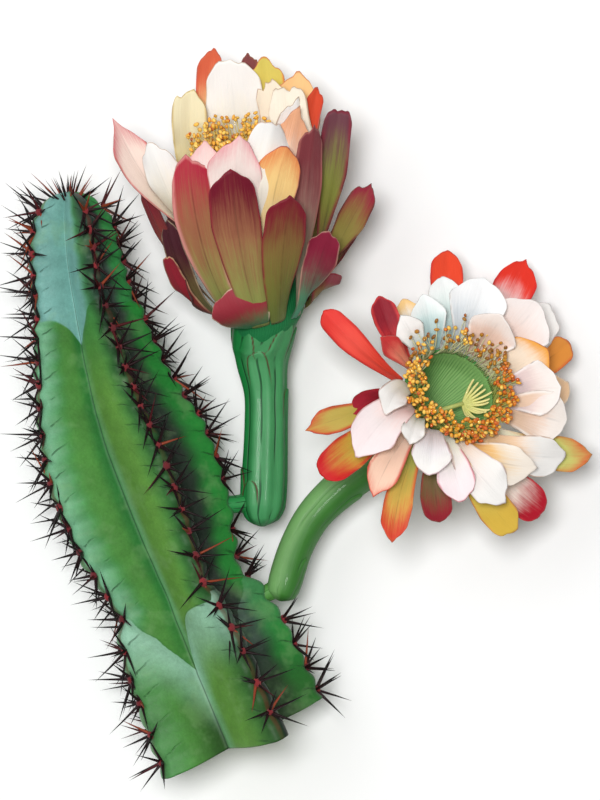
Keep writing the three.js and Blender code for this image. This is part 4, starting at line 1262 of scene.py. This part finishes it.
openOuterTepals = [
    blade((-55.5, 42, 20), 166, 13, 20, -25, 0.15, (216, 62, 42), (236, 84, 70), (222, 56, 48),
          (204, 40, 36), endStart=0.8, edgeWidth=0.1, ruffle=0.2, streak=0.6),
    blade((-30, 49, 4), 142, 13, 24, -25, 0.3, (206, 62, 54), (176, 40, 50), (140, 24, 40), (210, 60, 60),
          endStart=0.6, edgeWidth=0.12, ruffle=0.4, streak=0.8),
    blade((-43, -5, 22), 186, 12, 14, -5, 0.35, (120, 14, 26), (128, 14, 30), (150, 20, 40), (150, 26, 40),
          edgeWidth=0.12, ruffle=0.3, streak=0.5),
    blade((-64, -13, 28), 196, 13, 4, -8, 0.55, (160, 156, 60), (188, 166, 80), (200, 60, 40),
          (196, 60, 44), endStart=0.97, edgeWidth=0.12, ruffle=0.4, streak=0.8, mucro=0.03),
    blade((-57, -34, 30), 212, 18, 6, -3, 0.1, (132, 136, 40), (184, 156, 56), (196, 24, 30), (190, 36, 34),
          endStart=0.82, edgeWidth=0.14, ruffle=0.4, streak=0.8),
    blade((-33, -44, 38), 226, 16, 20, 8, 0.5, (240, 210, 190), (242, 204, 180), (222, 84, 60),
          (216, 84, 66), endStart=1.06, edgeWidth=0.1, ruffle=0.5, streak=1.0, mucro=0.03),
    blade((-24, -64, 30), 240, 14, 4, 12, 0.45, (150, 164, 80), (206, 170, 76), (206, 56, 36),
          (210, 90, 56), endStart=0.84, edgeWidth=0.12, ruffle=0.3, streak=1.2),
    blade((-2, -55, 16), 258, 15, 4, 15, 0.05, (84, 100, 50), (112, 84, 52), (140, 24, 40), (140, 50, 50),
          endStart=0.84, edgeWidth=0.08, ruffle=0.15, streak=1.1),
    blade((33, -60, 6), 286, 17, 4, 20, 0.25, (200, 190, 70), (224, 200, 90), (216, 180, 70),
          (220, 150, 80), edgeWidth=0.05, ruffle=0.5),
    blade((46, -51, -3), 304, 19, 6, 22, 0.1, white, (240, 226, 216), (176, 18, 40), (200, 50, 60),
          endStart=0.8, edgeWidth=0.07, ruffle=0.4),
    blade((69, -24, -14), 330, 17, 8, 18, 0.6, (240, 236, 216), (204, 206, 116), (214, 60, 36),
          (206, 150, 80), endStart=0.96, edgeWidth=0.1, ruffle=0.3),
    blade((58, 10, -26), 0, 15, 8, 8, 0.3, ivory, (240, 216, 190), (238, 200, 160), (238, 220, 200),
          edgeWidth=0.08, ruffle=0.5),
    blade((58.5, 28, -33), 24, 15, 6, 6, 0.1, (240, 214, 180), (232, 180, 100), (224, 144, 60),
          (214, 104, 56), endStart=0.5, edgeWidth=0.1, ruffle=0.2, streak=0.9),
    blade((50, 45, -34), 42, 24, 8, 0, 0.25, white, (240, 238, 236), white, (222, 216, 212),
          edgeWidth=0.04, ruffle=0.8),
    blade((39, 67, -38), 60, 20, 8, -6, 0.45, white, (240, 232, 230), (222, 50, 34), (206, 36, 36),
          endStart=0.7, edgeWidth=0.1, ruffle=0.5, mucro=0.03),
    blade((2, 71, -28), 92, 16, 10, -15, 0.5, white, (238, 234, 230), (226, 70, 40), (216, 50, 40),
          endStart=0.6, edgeWidth=0.08, ruffle=0.3),
    blade((-19, 48, -10), 118, 16, 10, -20, 0.5, (230, 234, 234), (238, 240, 238), (236, 196, 130),
          (226, 190, 150), endStart=0.8, edgeWidth=0.06, ruffle=0.6),
]
openInnerPetals = [
    blade((-29, 29.5, 32), 158, 11, 36, -25, 0.6, (240, 150, 120), (236, 120, 100), (214, 60, 60),
          (206, 50, 50), endStart=0.7, edgeWidth=0.12, ruffle=0.2, streak=0.8),
    blade((-27, -6, 38), 186, 15, 36, 15, 0.6, (232, 226, 208), white, white, (214, 190, 180),
          edgeWidth=0.05, ruffle=0.6),
    blade((-41, -25, 42), 204, 23, 34, 0, 0.35, (240, 206, 200), (241, 230, 228), (240, 224, 224),
          (224, 180, 180), edgeWidth=0.05, ruffle=0.6),
    blade((-16, -19, 40), 222, 12, 44, 15, 0.3, (226, 230, 214), white, white, (206, 200, 190),
          edgeWidth=0.05, ruffle=0.6),
    blade((-7, -34, 38), 244, 20, 38, 16, 0.3, (228, 214, 214), (236, 232, 234), white, (214, 184, 190),
          edgeWidth=0.06, ruffle=0.7),
    blade((9, -46, 31), 260, 18, 30, 18, 0.3, (226, 224, 206), (240, 232, 230), (240, 226, 228),
          (226, 130, 146), edgeWidth=0.07, ruffle=0.7),
    blade((28, -46, 24), 270, 21, 37, 20, 0.2, (236, 216, 196), (240, 230, 224), white, (214, 190, 186),
          edgeWidth=0.05, ruffle=1.0, cup=0.08),
    blade((43, -30, 16), 276, 20, 32, 24, 0.4, (218, 150, 70), (236, 196, 134), (241, 230, 216),
          (242, 232, 220), endStart=0.76, edgeWidth=0.1, ruffle=0.6, streak=0.9, cup=0),
    blade((57, -25, -2), 306, 20, 28, 20, 0.5, (226, 186, 140), (240, 214, 190), white, (226, 196, 176),
          endStart=0.66, cup=0.1, edgeWidth=0.04, ruffle=0.6, streak=0.8),
    blade((57, -10, -2), 348, 28, 32, 20, 0.3, (222, 190, 160), (232, 202, 182), (240, 230, 222),
          (246, 240, 234), endStart=0.7, edgeWidth=0.12, ruffle=0.8, streak=0.8),
    blade((54.5, 7, 4), 6, 28, 38, 16, 0.2, (206, 188, 192), (230, 208, 200), (240, 230, 224),
          (246, 240, 236), endStart=0.7, edgeWidth=0.12, ruffle=0.9),
    blade((48, 25, -3), 26, 30, 36, 10, 0.3, (226, 206, 180), (241, 222, 200), (232, 160, 66),
          (206, 104, 50), endStart=0.84, edgeWidth=0.06, ruffle=0.6, cup=0.05),
    blade((44, 46, -11), 48, 32, 30, 0, 0.2, (224, 192, 180), (236, 214, 204), (241, 230, 226),
          (246, 240, 236), endStart=0.76, edgeWidth=0.1, ruffle=0.8, cup=0.1),
    blade((27, 40, 8), 62, 28, 44, -5, 0.2, (214, 180, 160), (234, 202, 184), (241, 228, 220),
          (246, 238, 232), endStart=0.74, edgeWidth=0.12, ruffle=0.9),
    # the grey-blue colours low on these four white petals are painted shade
    blade((19, 58, -5), 80, 30, 37, -12, 0.3, (190, 200, 206), (222, 226, 228), (238, 238, 238),
          (244, 244, 242), endStart=0.7, edgeWidth=0.1, ruffle=0.7),
    blade((-1, 59, -12), 98, 16, 28, -20, 0.6, (176, 196, 194), (214, 226, 222), (238, 240, 238),
          (240, 242, 240), endStart=0.74, edgeWidth=0.08, ruffle=0.6),
    blade((-10, 50, 8), 116, 19, 38, -22, 0.5, (160, 192, 192), (204, 222, 220), (236, 240, 238),
          (236, 240, 238), endStart=0.76, edgeWidth=0.08, ruffle=0.6),
    blade((-20, 40, 16), 136, 15, 40, -25, 0.4, (200, 216, 212), (234, 236, 230), white, (190, 196, 190),
          endStart=0.6, edgeWidth=0.05, ruffle=0.6),
]

petalPlan = {
    "thickness": 0.5,
    "torn": 0.018,
    "scallop": 0.075,
    "tilt": 11,
    "base": 0.34,
    "opening": 0.95,
    "taper": 0.2,
    "roll": (0.1, 0.7),
    "tipHeight": (0.9, 2.2),
    "across": 20,
    "along": 40,
    "outerRoot": (1, 2.2),
    "innerRoot": (0.6, 1.8),
    "rootStep": 0.5,
    "ringTop": 4.5,
    # how far a curled edge stands up: long and short waves, and the blade's own
    "frill": (1.3, 0.6),
    "heave": 0.7,
    "mucroWidth": 0.14,
    "foldWidth": 0.16,
}


def bladeHalf(spec, share):
    wide = min(1, petalPlan["base"] + petalPlan["opening"] * share) ** spec["waist"]
    return spec["width"] / 2 * wide * (1 - petalPlan["taper"] * share ** 4)


def bladeSpots(head, spec, rootRadius, rootHeight, order, corners):
    root = headSpot(head, spec["root"], rootRadius, rootHeight)
    tip = head["centre"] + Vector(spec["tip"])
    out = headSpot(head, spec["root"], 1, 0) - head["centre"]
    lift = math.radians(spec["lift"])
    start = out * math.cos(lift) + head["axis"] * math.sin(lift)
    bend = root + start * (root - tip).length * 0.5
    length = (root - bend).length + (bend - tip).length
    fall = bladeHalf(spec, 1) * lerp(*petalPlan["tipHeight"], spec["point"]) / length
    wave = order * 1.7

    def spotAt(u, v):
        across = math.sin(math.pi / 2 * (u * 2 - 1))
        side = abs(across)
        # the outer columns end lower, which rounds or points the tip
        closing = lerp(1 - math.sqrt(max(0, 1 - side * side)), side ** 1.2, spec["point"])
        share = v * (1 - fall * closing * v * v)
        share += spec["mucro"] * (math.exp(-((across / petalPlan["mucroWidth"]) ** 2)) - 1) * v ** 12
        torn = math.sin(5 * across + wave * 3) + 0.5 * math.sin(12 * across + wave)
        share -= petalPlan["torn"] * spec["ruffle"] * (1 + torn) * v ** 10
        centre = root * (1 - share) ** 2 + bend * 2 * share * (1 - share) + tip * share * share
        tangent = ((bend - root) * (1 - share) + (tip - bend) * share).normalized()
        radial = centre - head["centre"]
        radial = (radial - head["axis"] * radial.dot(head["axis"])).normalized()
        sideways = head["axis"].cross(radial)
        sideways = (sideways - tangent * sideways.dot(tangent)).normalized()
        rolled = lerp(petalPlan["tilt"], spec["turn"], ease(share, *petalPlan["roll"]))
        sideways = Matrix.Rotation(math.radians(rolled), 3, tangent) @ sideways
        inward = tangent.cross(sideways)
        half = bladeHalf(spec, share)
        corners[(u, v)] = ((1 - side) * half / 10, (1 - v) * length / 10)
        frill = spec["ruffle"] * side ** 3 * ease(share, 0.25, 0.9)
        hand = 1 if across > 0 else -1
        scallop = math.sin(9 * share + wave * 2) + math.sin(23 * share + wave) * 0.5
        half *= 1 + petalPlan["scallop"] * frill * scallop * hand
        height = spec["cup"] * half * across * across
        long, short = petalPlan["frill"]
        height += frill * long * math.sin(13 * share + wave + (2.1 if across > 0 else 0))
        height += frill * short * math.sin(27 * share + wave * 3 + hand)
        height += spec["ruffle"] * petalPlan["heave"] * math.sin(5 * share + 2.3 * across + wave)
        # a shallow fold along the middle
        valley = math.exp(-((across / petalPlan["foldWidth"]) ** 2))
        height -= spec["fold"] * valley * ease(share, 0.05, 0.3)
        return centre + sideways * across * half + inward * height

    return spotAt


def buildBlades(head, specs, inner):
    bm = bmesh.new()
    layers = [paint(bm, name) for name in ("baseTint", "bodyTint", "endTint", "edgeTint")]
    sheet = bm.loops.layers.uv.new("sheet")
    margin = bm.loops.layers.uv.new("margin")
    for order, spec in enumerate(specs):
        if inner:
            radius = head["cupRadius"] - petalPlan["innerRoot"][0]
            height = head["cupHeight"] + ringGap + petalPlan["innerRoot"][1]
            height += petalPlan["rootStep"] * (order % 2)
        else:
            wall = lerp(head["rimRadius"], head["cupRadius"], petalPlan["ringTop"] / head["cupHeight"])
            radius = wall + ringGap + petalPlan["outerRoot"][0]
            height = petalPlan["outerRoot"][1] + petalPlan["rootStep"] * (order % 3)
        corners = {}
        spotAt = bladeSpots(head, spec, radius, height, order, corners)
        verts, faces, shares = gridOver(bm, petalPlan["across"], petalPlan["along"], spotAt)
        for face in faces:
            for loop in face.loops:
                u, v = shares[loop.vert]
                loop[sheet].uv = (math.sin(math.pi / 2 * (u * 2 - 1)) / 2 + 0.5, v)
                loop[margin].uv = corners[(u, v)]
        # each petal's own colours, with its number, the streaks' strength, where the tip
        # colour starts and the edge's width as fourth values
        fourth = (order * 0.137 % 1, spec["streak"], spec["endStart"], spec["edgeWidth"])
        for vert in verts:
            for layer, name, last in zip(layers, ("base", "body", "end", "edge"), fourth):
                vert[layer] = (*tint(*spec[name])[:3], last)
    return bm


def bladeFinish(name, outline, gloss):
    f = Finish(name)
    base, order = f.painted("baseTint")
    body, streak = f.painted("bodyTint")
    end, endStart = f.painted("endTint")
    edge, edgeWidth = f.painted("edgeTint")
    across, along = f.sheet("sheet")
    # centimetres in from the side and from the tip
    inside, below = f.sheet("margin")
    near = inside.least(below)
    side = abs(across - 0.5) * 2
    fibre = f.grain(1.0, 3, 0.6, f.joined(across * 34, along * 3.2, order * 40))
    fine = f.grain(1.0, 2, 0.6, f.joined(across * 120, along * 5, order * 70))
    cloud = f.grain(1.0, 3, 0.55, f.joined(across * 3.2, along * 5, order * 90))
    # base, body and tip colours run into each other along the fibres
    fibreShift = (fibre - 0.5) * streak
    baseShare = 1 - (along + fibreShift * 0.4 + (cloud - 0.5) * 0.3).ease(0.08, 0.72)
    tipPlace = along + fibreShift * 0.3 + (cloud - 0.5) * 0.2 + side * side * 0.06 - endStart
    tipShare = tipPlace.ease(-0.24, 0.16)
    colour = f.blend(baseShare, body, base)
    colour = f.blend(tipShare, colour, end)
    # coloured margin, about as many centimetres wide as its number says
    rim = 1 - (near + (fibre - 0.5) * 0.05).ease(edgeWidth * 0.3, edgeWidth * 1.6)
    margin = rim * along.ease(0.12, 0.4) * cloud.ease(0.25, 0.5)
    colour = f.blend(margin * 0.85, colour, edge)
    # soft shade along the hollow of the blade, veins and a fine line round its edge
    hollow = (1 - side.ease(0.05, 0.6)) * (1 - along.ease(0.3, 0.95))
    colour = f.shaded(colour, 1.02 - hollow * 0.1 - (fine - 0.5) * 0.16 * streak - (cloud - 0.5) * 0.08)
    vein = (1 - side.ease(0.015, 0.05)) * streak * streak * cloud.ease(0.3, 0.6)
    vein = vein * (1 - along.ease(0.75, 0.95))
    colour = f.shaded(colour, 1.0 - vein * 0.2)
    line = (1 - near.ease(0.02, 0.05)) * cloud.ease(0.36, 0.6)
    colour = f.blend(line * outline[1], colour, outline[0])
    f.skin(Base_Color=colour, Roughness=gloss + fine * 0.2)
    f.skin(Specular_IOR_Level=0.2, Sheen_Weight=0.06)
    f.relief(fibre * 0.6 + fine * 0.3, 0.0005, 0.55)
    return f


def petalPiece(name, head, specs, inner, finish):
    piece = finishedPiece(name + "_blades", buildBlades(head, specs, inner), [finish], [name])
    thick = piece.modifiers.new("thickness", "SOLIDIFY")
    thick.thickness = petalPlan["thickness"] * metresPerMm
    thick.offset = 0.0
    thick.use_rim = True
    return piece


tepalFinish = bladeFinish("maroon and olive tepals", (tint(70, 20, 34), 0.45), 0.4)
brightFinish = bladeFinish("red and yellow tepals", (tint(130, 60, 44), 0.3), 0.42)
petalFinish = bladeFinish("white petals", (tint(150, 124, 108), 0.5), 0.5)
petals = [
    petalPiece("side_flower_outer_tepals", sideHead, sideOuterTepals, False, tepalFinish),
    petalPiece("side_flower_inner_petals", sideHead, sideInnerPetals, True, petalFinish),
    petalPiece("open_flower_outer_tepals", openHead, openOuterTepals, False, brightFinish),
    petalPiece("open_flower_inner_petals", openHead, openInnerPetals, True, petalFinish),
]
print("petals", sum(len(p.data.polygons) for p in petals))


# Stamens and styles

# count follows the CAD's own stamens, more fills in between them, and drop is how many
# millimetres lower some of those end
stamenPlans = {
    "side": {"count": 24, "reach": (9, 19), "height": (84, 98), "seed": 31, "more": 330,
             "ring": (3, 20), "drop": 4, "anther": (0.85, 0.85, 1.35), "collarTop": 28},
    "open": {"count": 28, "reach": (20, 28), "height": (21, 27), "seed": 47, "more": 560,
             "ring": (17.6, 27.5), "drop": 5, "anther": (0.88, 0.88, 1.34), "collarTop": 8.6},
}
filament = {"radius": 0.26, "taper": 0.75, "sides": 5, "sunk": 1.6, "toss": 2.6, "sway": 20,
            "ownSway": 14, "grainSize": (0.85, 1.12)}


def cupInside(head, height):
    low = head["cupHeight"] - head["throatDepth"] * 0.6
    share = (height - low) / (head["cupHeight"] - low)
    return lerp(head["rimRadius"] - 4, head["cupRadius"] - cupWall, share)


def addRod(bm, start, end, rootRadius, tipRadius, sides, colour, bow=None):
    middle = bow if bow else start.lerp(end, 0.5)
    shares = [0, 0, 0.3, 0.6, 1, 1]
    centres = [start * (1 - v) ** 2 + middle * 2 * v * (1 - v) + end * v * v for v in shares]
    radii = [lerp(rootRadius, tipRadius, v) for v in shares]
    radii[0] = radii[-1] = 0
    sweep(bm, paint(bm, "partTint"), centres, radii, sides, [colour] * len(shares))


def addAnther(bm, centre, direction, size, colour, litTopColour):
    # a grain with a groove along it
    tints = paint(bm, "partTint")
    made = bmesh.ops.create_icosphere(bm, subdivisions=2, radius=1.0)
    axis = direction.normalized()
    side = axis.cross(upward if abs(axis.z) < 0.9 else Vector((1, 0, 0))).normalized()
    front = side.cross(axis)
    for vert in made["verts"]:
        x, y, z = vert.co
        groove = 1 - 0.22 * math.exp(-((x / 0.3) ** 2)) * (1 if y > 0 else 0)
        spot = centre + (side * x * size[0] + front * y * size[1] * groove + axis * z * size[2])
        # painted light: the upper half takes the lighter colour, the lower half keeps the darker one as
        # painted shade
        vert[tints] = mixTint(colour, litTopColour, ease(y, -0.3, 0.9))
        vert.co = sceneSpot(spot)


def antherColours(kind, turn, draw):
    gold = tint(236, 168, 40)
    light = tint(252, 214, 100)
    orange = tint(204, 92, 26)
    red = tint(178, 50, 24)
    brown = tint(104, 64, 24)
    # each pair gives the darker colour for an anther's painted-shade lower half and the lighter one for its
    # painted-lit upper half
    if kind == "open":
        across = math.cos(math.radians(turn + 8))      # right side of the ring
        upper = math.sin(math.radians(turn - 5))
        if upper > 0.45 and draw() < 0.6:
            return (mixTint(brown, orange, draw() * 0.6), mixTint(gold, brown, 0.3 + draw() * 0.6))
        if draw() < 0.25 + 0.5 * ease(across, -0.4, 0.9):
            return (mixTint(orange, red, draw()), mixTint(gold, orange, draw()))
        return (mixTint(orange, brown, draw() * 0.8), mixTint(light, gold, draw()))
    side = abs(math.cos(math.radians(turn)))
    return (mixTint(orange, brown, draw() * (0.3 + 0.4 * side)), mixTint(light, gold, draw()))


def buildStamens(kind, head):
    plan = stamenPlans[kind]
    bm = bmesh.new()
    draw = seeded(plan["seed"])
    more = seeded(plan["seed"] * 7 + 3)
    radius = cupInside(head, min(head["cupHeight"], plan["collarTop"]) - 3) - ringGap
    pale = tint(206, 186, 104) if kind == "side" else tint(168, 178, 92)
    faint = tint(206, 206, 160)
    for i in range(plan["count"] + plan["more"]):
        turn = i * goldenTurn
        if i < plan["count"]:
            reach = lerp(*plan["reach"], math.sqrt(draw()))
            tipTurn = turn + filament["ownSway"] * (draw() - 0.5)
            height = between(draw, plan["height"])
            draw()
        elif kind == "open":
            # densest on the left and along the bottom, thin and ragged at the top
            tipTurn = turn + filament["sway"] * (more() - 0.5)
            upper = ease(math.sin(math.radians(tipTurn - 10)), 0.1, 0.85)
            reach = lerp(*plan["ring"], more() ** 0.9) + upper * 7 * more() ** 2
            height = between(more, plan["height"]) - plan["drop"] * more()
            if more() < upper * 0.62:
                continue
        else:
            tipTurn = turn + filament["sway"] * (more() - 0.5)
            near = ease(math.sin(math.radians(tipTurn)), 0.2, 0.9)
            reach = lerp(*plan["ring"], math.sqrt(more())) * (1 - 0.35 * near)
            height = between(more, plan["height"]) - plan["drop"] * more()
        root = headSpot(head, turn, radius + filament["sunk"], plan["collarTop"] - 1)
        tip = headSpot(head, tipTurn, reach, height)
        rise = headSpot(head, turn, radius - 0.7, lerp(plan["collarTop"], height, 0.62))
        if kind == "open":
            colour = mixTint(pale, faint, ease(math.sin(math.radians(tipTurn - 10)), 0.0, 0.5))
        else:
            colour = pale
        thick = filament["radius"]
        addRod(bm, root, tip, thick, thick * filament["taper"], filament["sides"], colour, rise)
        toss = Vector((more() - 0.5, more() - 0.5, more() - 0.5)) * filament["toss"]
        colour, light = antherColours(kind, tipTurn, more)
        size = [value * lerp(*filament["grainSize"], more()) for value in plan["anther"]]
        addAnther(bm, tip, head["axis"] * 0.5 + toss, size, colour, light)
    return bm


# styles: foot and top as turn, reach and height, then how far the lobes fan out
stylePlans = {
    "side": {"foot": (0, 0, 4.3), "top": (-20, 1.5, 72), "lobes": 10, "fan": 360, "reach": 4,
             "rise": 7, "lobeRadius": 0.8, "rod": 1.4},
    "open": {"foot": (212, 16.2, -5.4), "top": (-6, 8, 4), "lobes": 13, "fan": 176, "reach": 11,
             "rise": 8.5, "lobeRadius": 0.66, "rod": 1.2},
}
lobe = {"steps": 12, "sides": 10, "rodSides": 14, "roundFrom": 0.85, "tipWide": 0.75,
        "green": tint(206, 208, 124), "cream": tint(244, 232, 158)}


def lobeWide(share):
    # narrows a little, then closes in a round tip
    closing = max(0, (share - lobe["roundFrom"]) / (1 - lobe["roundFrom"]))
    return lerp(1.0, lobe["tipWide"], share) * math.sqrt(max(0, 1 - closing ** 2))


def buildStyle(kind, head):
    plan = stylePlans[kind]
    bm = bmesh.new()
    tints = paint(bm, "partTint")
    foot = headSpot(head, *plan["foot"])
    top = headSpot(head, *plan["top"])
    addRod(bm, foot, top, plan["rod"], plan["rod"] * 0.85, lobe["rodSides"], tint(196, 206, 120))
    for i in range(plan["lobes"]):
        turn = plan["top"][0] + plan["fan"] * ((i + 0.5) / plan["lobes"] - 0.5)
        side = headSpot(head, turn, plan["reach"], 0) - head["centre"]
        reach = lerp(0.82, 1.08, (i * 0.37) % 1)
        start = top - head["axis"] * 1
        tip = top + side * reach + head["axis"] * plan["rise"] * lerp(0.7, 1.05, (i * 0.61) % 1)
        bow = top + side * 0.85 * reach + head["axis"] * plan["rise"] * 0.1
        shares = [k / lobe["steps"] for k in range(lobe["steps"] + 1)]
        centres = [start * (1 - v) ** 2 + bow * 2 * v * (1 - v) + tip * v * v for v in shares]
        radii = [plan["lobeRadius"] * lobeWide(v) for v in shares]
        colours = [mixTint(lobe["green"], lobe["cream"], ease(v, 0.1, 0.8)) for v in shares]
        sweep(bm, tints, [centres[0]] + centres, [0] + radii, lobe["sides"], [colours[0]] + colours)
    return bm


def grainFinish(name, rough, coat):
    f = Finish(name)
    base, _ = f.painted("partTint")
    fine = f.grain(1400, 2, 0.6)
    cloud = f.grain(300, 2, 0.5)
    f.skin(Base_Color=f.shaded(base, 0.78 + cloud * 0.3 + fine * 0.15), Roughness=rough + fine * 0.2)
    f.skin(Specular_IOR_Level=0.45, Coat_Weight=coat)
    f.relief(fine, 0.0003, 0.6)
    return f


antherFinish = grainFinish("golden pollen sacs", 0.3, 0.2)
styleFinish = grainFinish("pale green style", 0.45, 0.05)
for kind, head in (("side", sideHead), ("open", openHead)):
    stamens = finishedPiece(
        kind + "_flower_pollen", buildStamens(kind, head), [antherFinish],
        [kind + "_flower_stamens"], doubles=1e-7)
    style = finishedPiece(
        kind + "_flower_stigma", buildStyle(kind, head), [styleFinish],
        [kind + "_flower_style"], doubles=1e-7)
    print(kind, "stamens", len(stamens.data.polygons), "style", len(style.data.polygons))


# Floor, light and camera

def buildFloor():
    bm = bmesh.new()
    bmesh.ops.create_grid(bm, x_segments=1, y_segments=1, size=6.0)
    mesh = bpy.data.meshes.new("floor")
    bm.to_mesh(mesh)
    bm.free()
    f = Finish("pale paper floor")
    f.skin(Base_Color=(0.93, 0.93, 0.93, 1), Roughness=0.9, Specular_IOR_Level=0.1)
    mesh.materials.append(f.material)
    floor = bpy.data.objects.new("floor", mesh)
    bpy.context.scene.collection.objects.link(floor)


studio = {
    "world": 0.28,
    "lamps": [
        # name, place, size, watts
        ("top", (-0.5, 0.5, 7.0), 1.6, 366),
        ("key", (-1.1, 0.9, 2.0), 1.3, 12),
    ],
}


def buildLights():
    world = bpy.data.worlds.new("studio")
    world.use_nodes = True
    background = world.node_tree.nodes["Background"]
    background.inputs["Color"].default_value = (1, 1, 1, 1)
    background.inputs["Strength"].default_value = studio["world"]
    bpy.context.scene.world = world
    for name, place, size, watts in studio["lamps"]:
        lamp = bpy.data.lights.new(name, "AREA")
        lamp.size = size
        lamp.energy = watts
        holder = bpy.data.objects.new(name, lamp)
        bpy.context.scene.collection.objects.link(holder)
        holder.location = place
        holder.rotation_euler = (-Vector(place)).to_track_quat("-Z", "Y").to_euler()


# metres: where the camera looks, its height over that, and half the picture's long side
view = {"place": (0.0023647, 0.0052543, 0.045), "distance": 5.0, "halfSpan": 0.184}


def buildCamera():
    # looks straight down on the lying stem; the picture's 800 pixels span 368 mm
    camera = bpy.data.cameras.new("camera")
    camera.sensor_width = 36
    camera.lens = 18 * view["distance"] / view["halfSpan"]
    camera.clip_end = 50
    holder = bpy.data.objects.new("camera", camera)
    bpy.context.scene.collection.objects.link(holder)
    x, y, z = view["place"]
    holder.location = (x, y, z + view["distance"])
    holder.rotation_euler = (0, 0, 0)
    bpy.context.scene.camera = holder


buildFloor()
buildLights()
buildCamera()
bpy.context.scene.view_settings.view_transform = "Standard"
bpy.context.scene.view_settings.look = "None"

bpy.context.view_layer.update()
print("dressed")
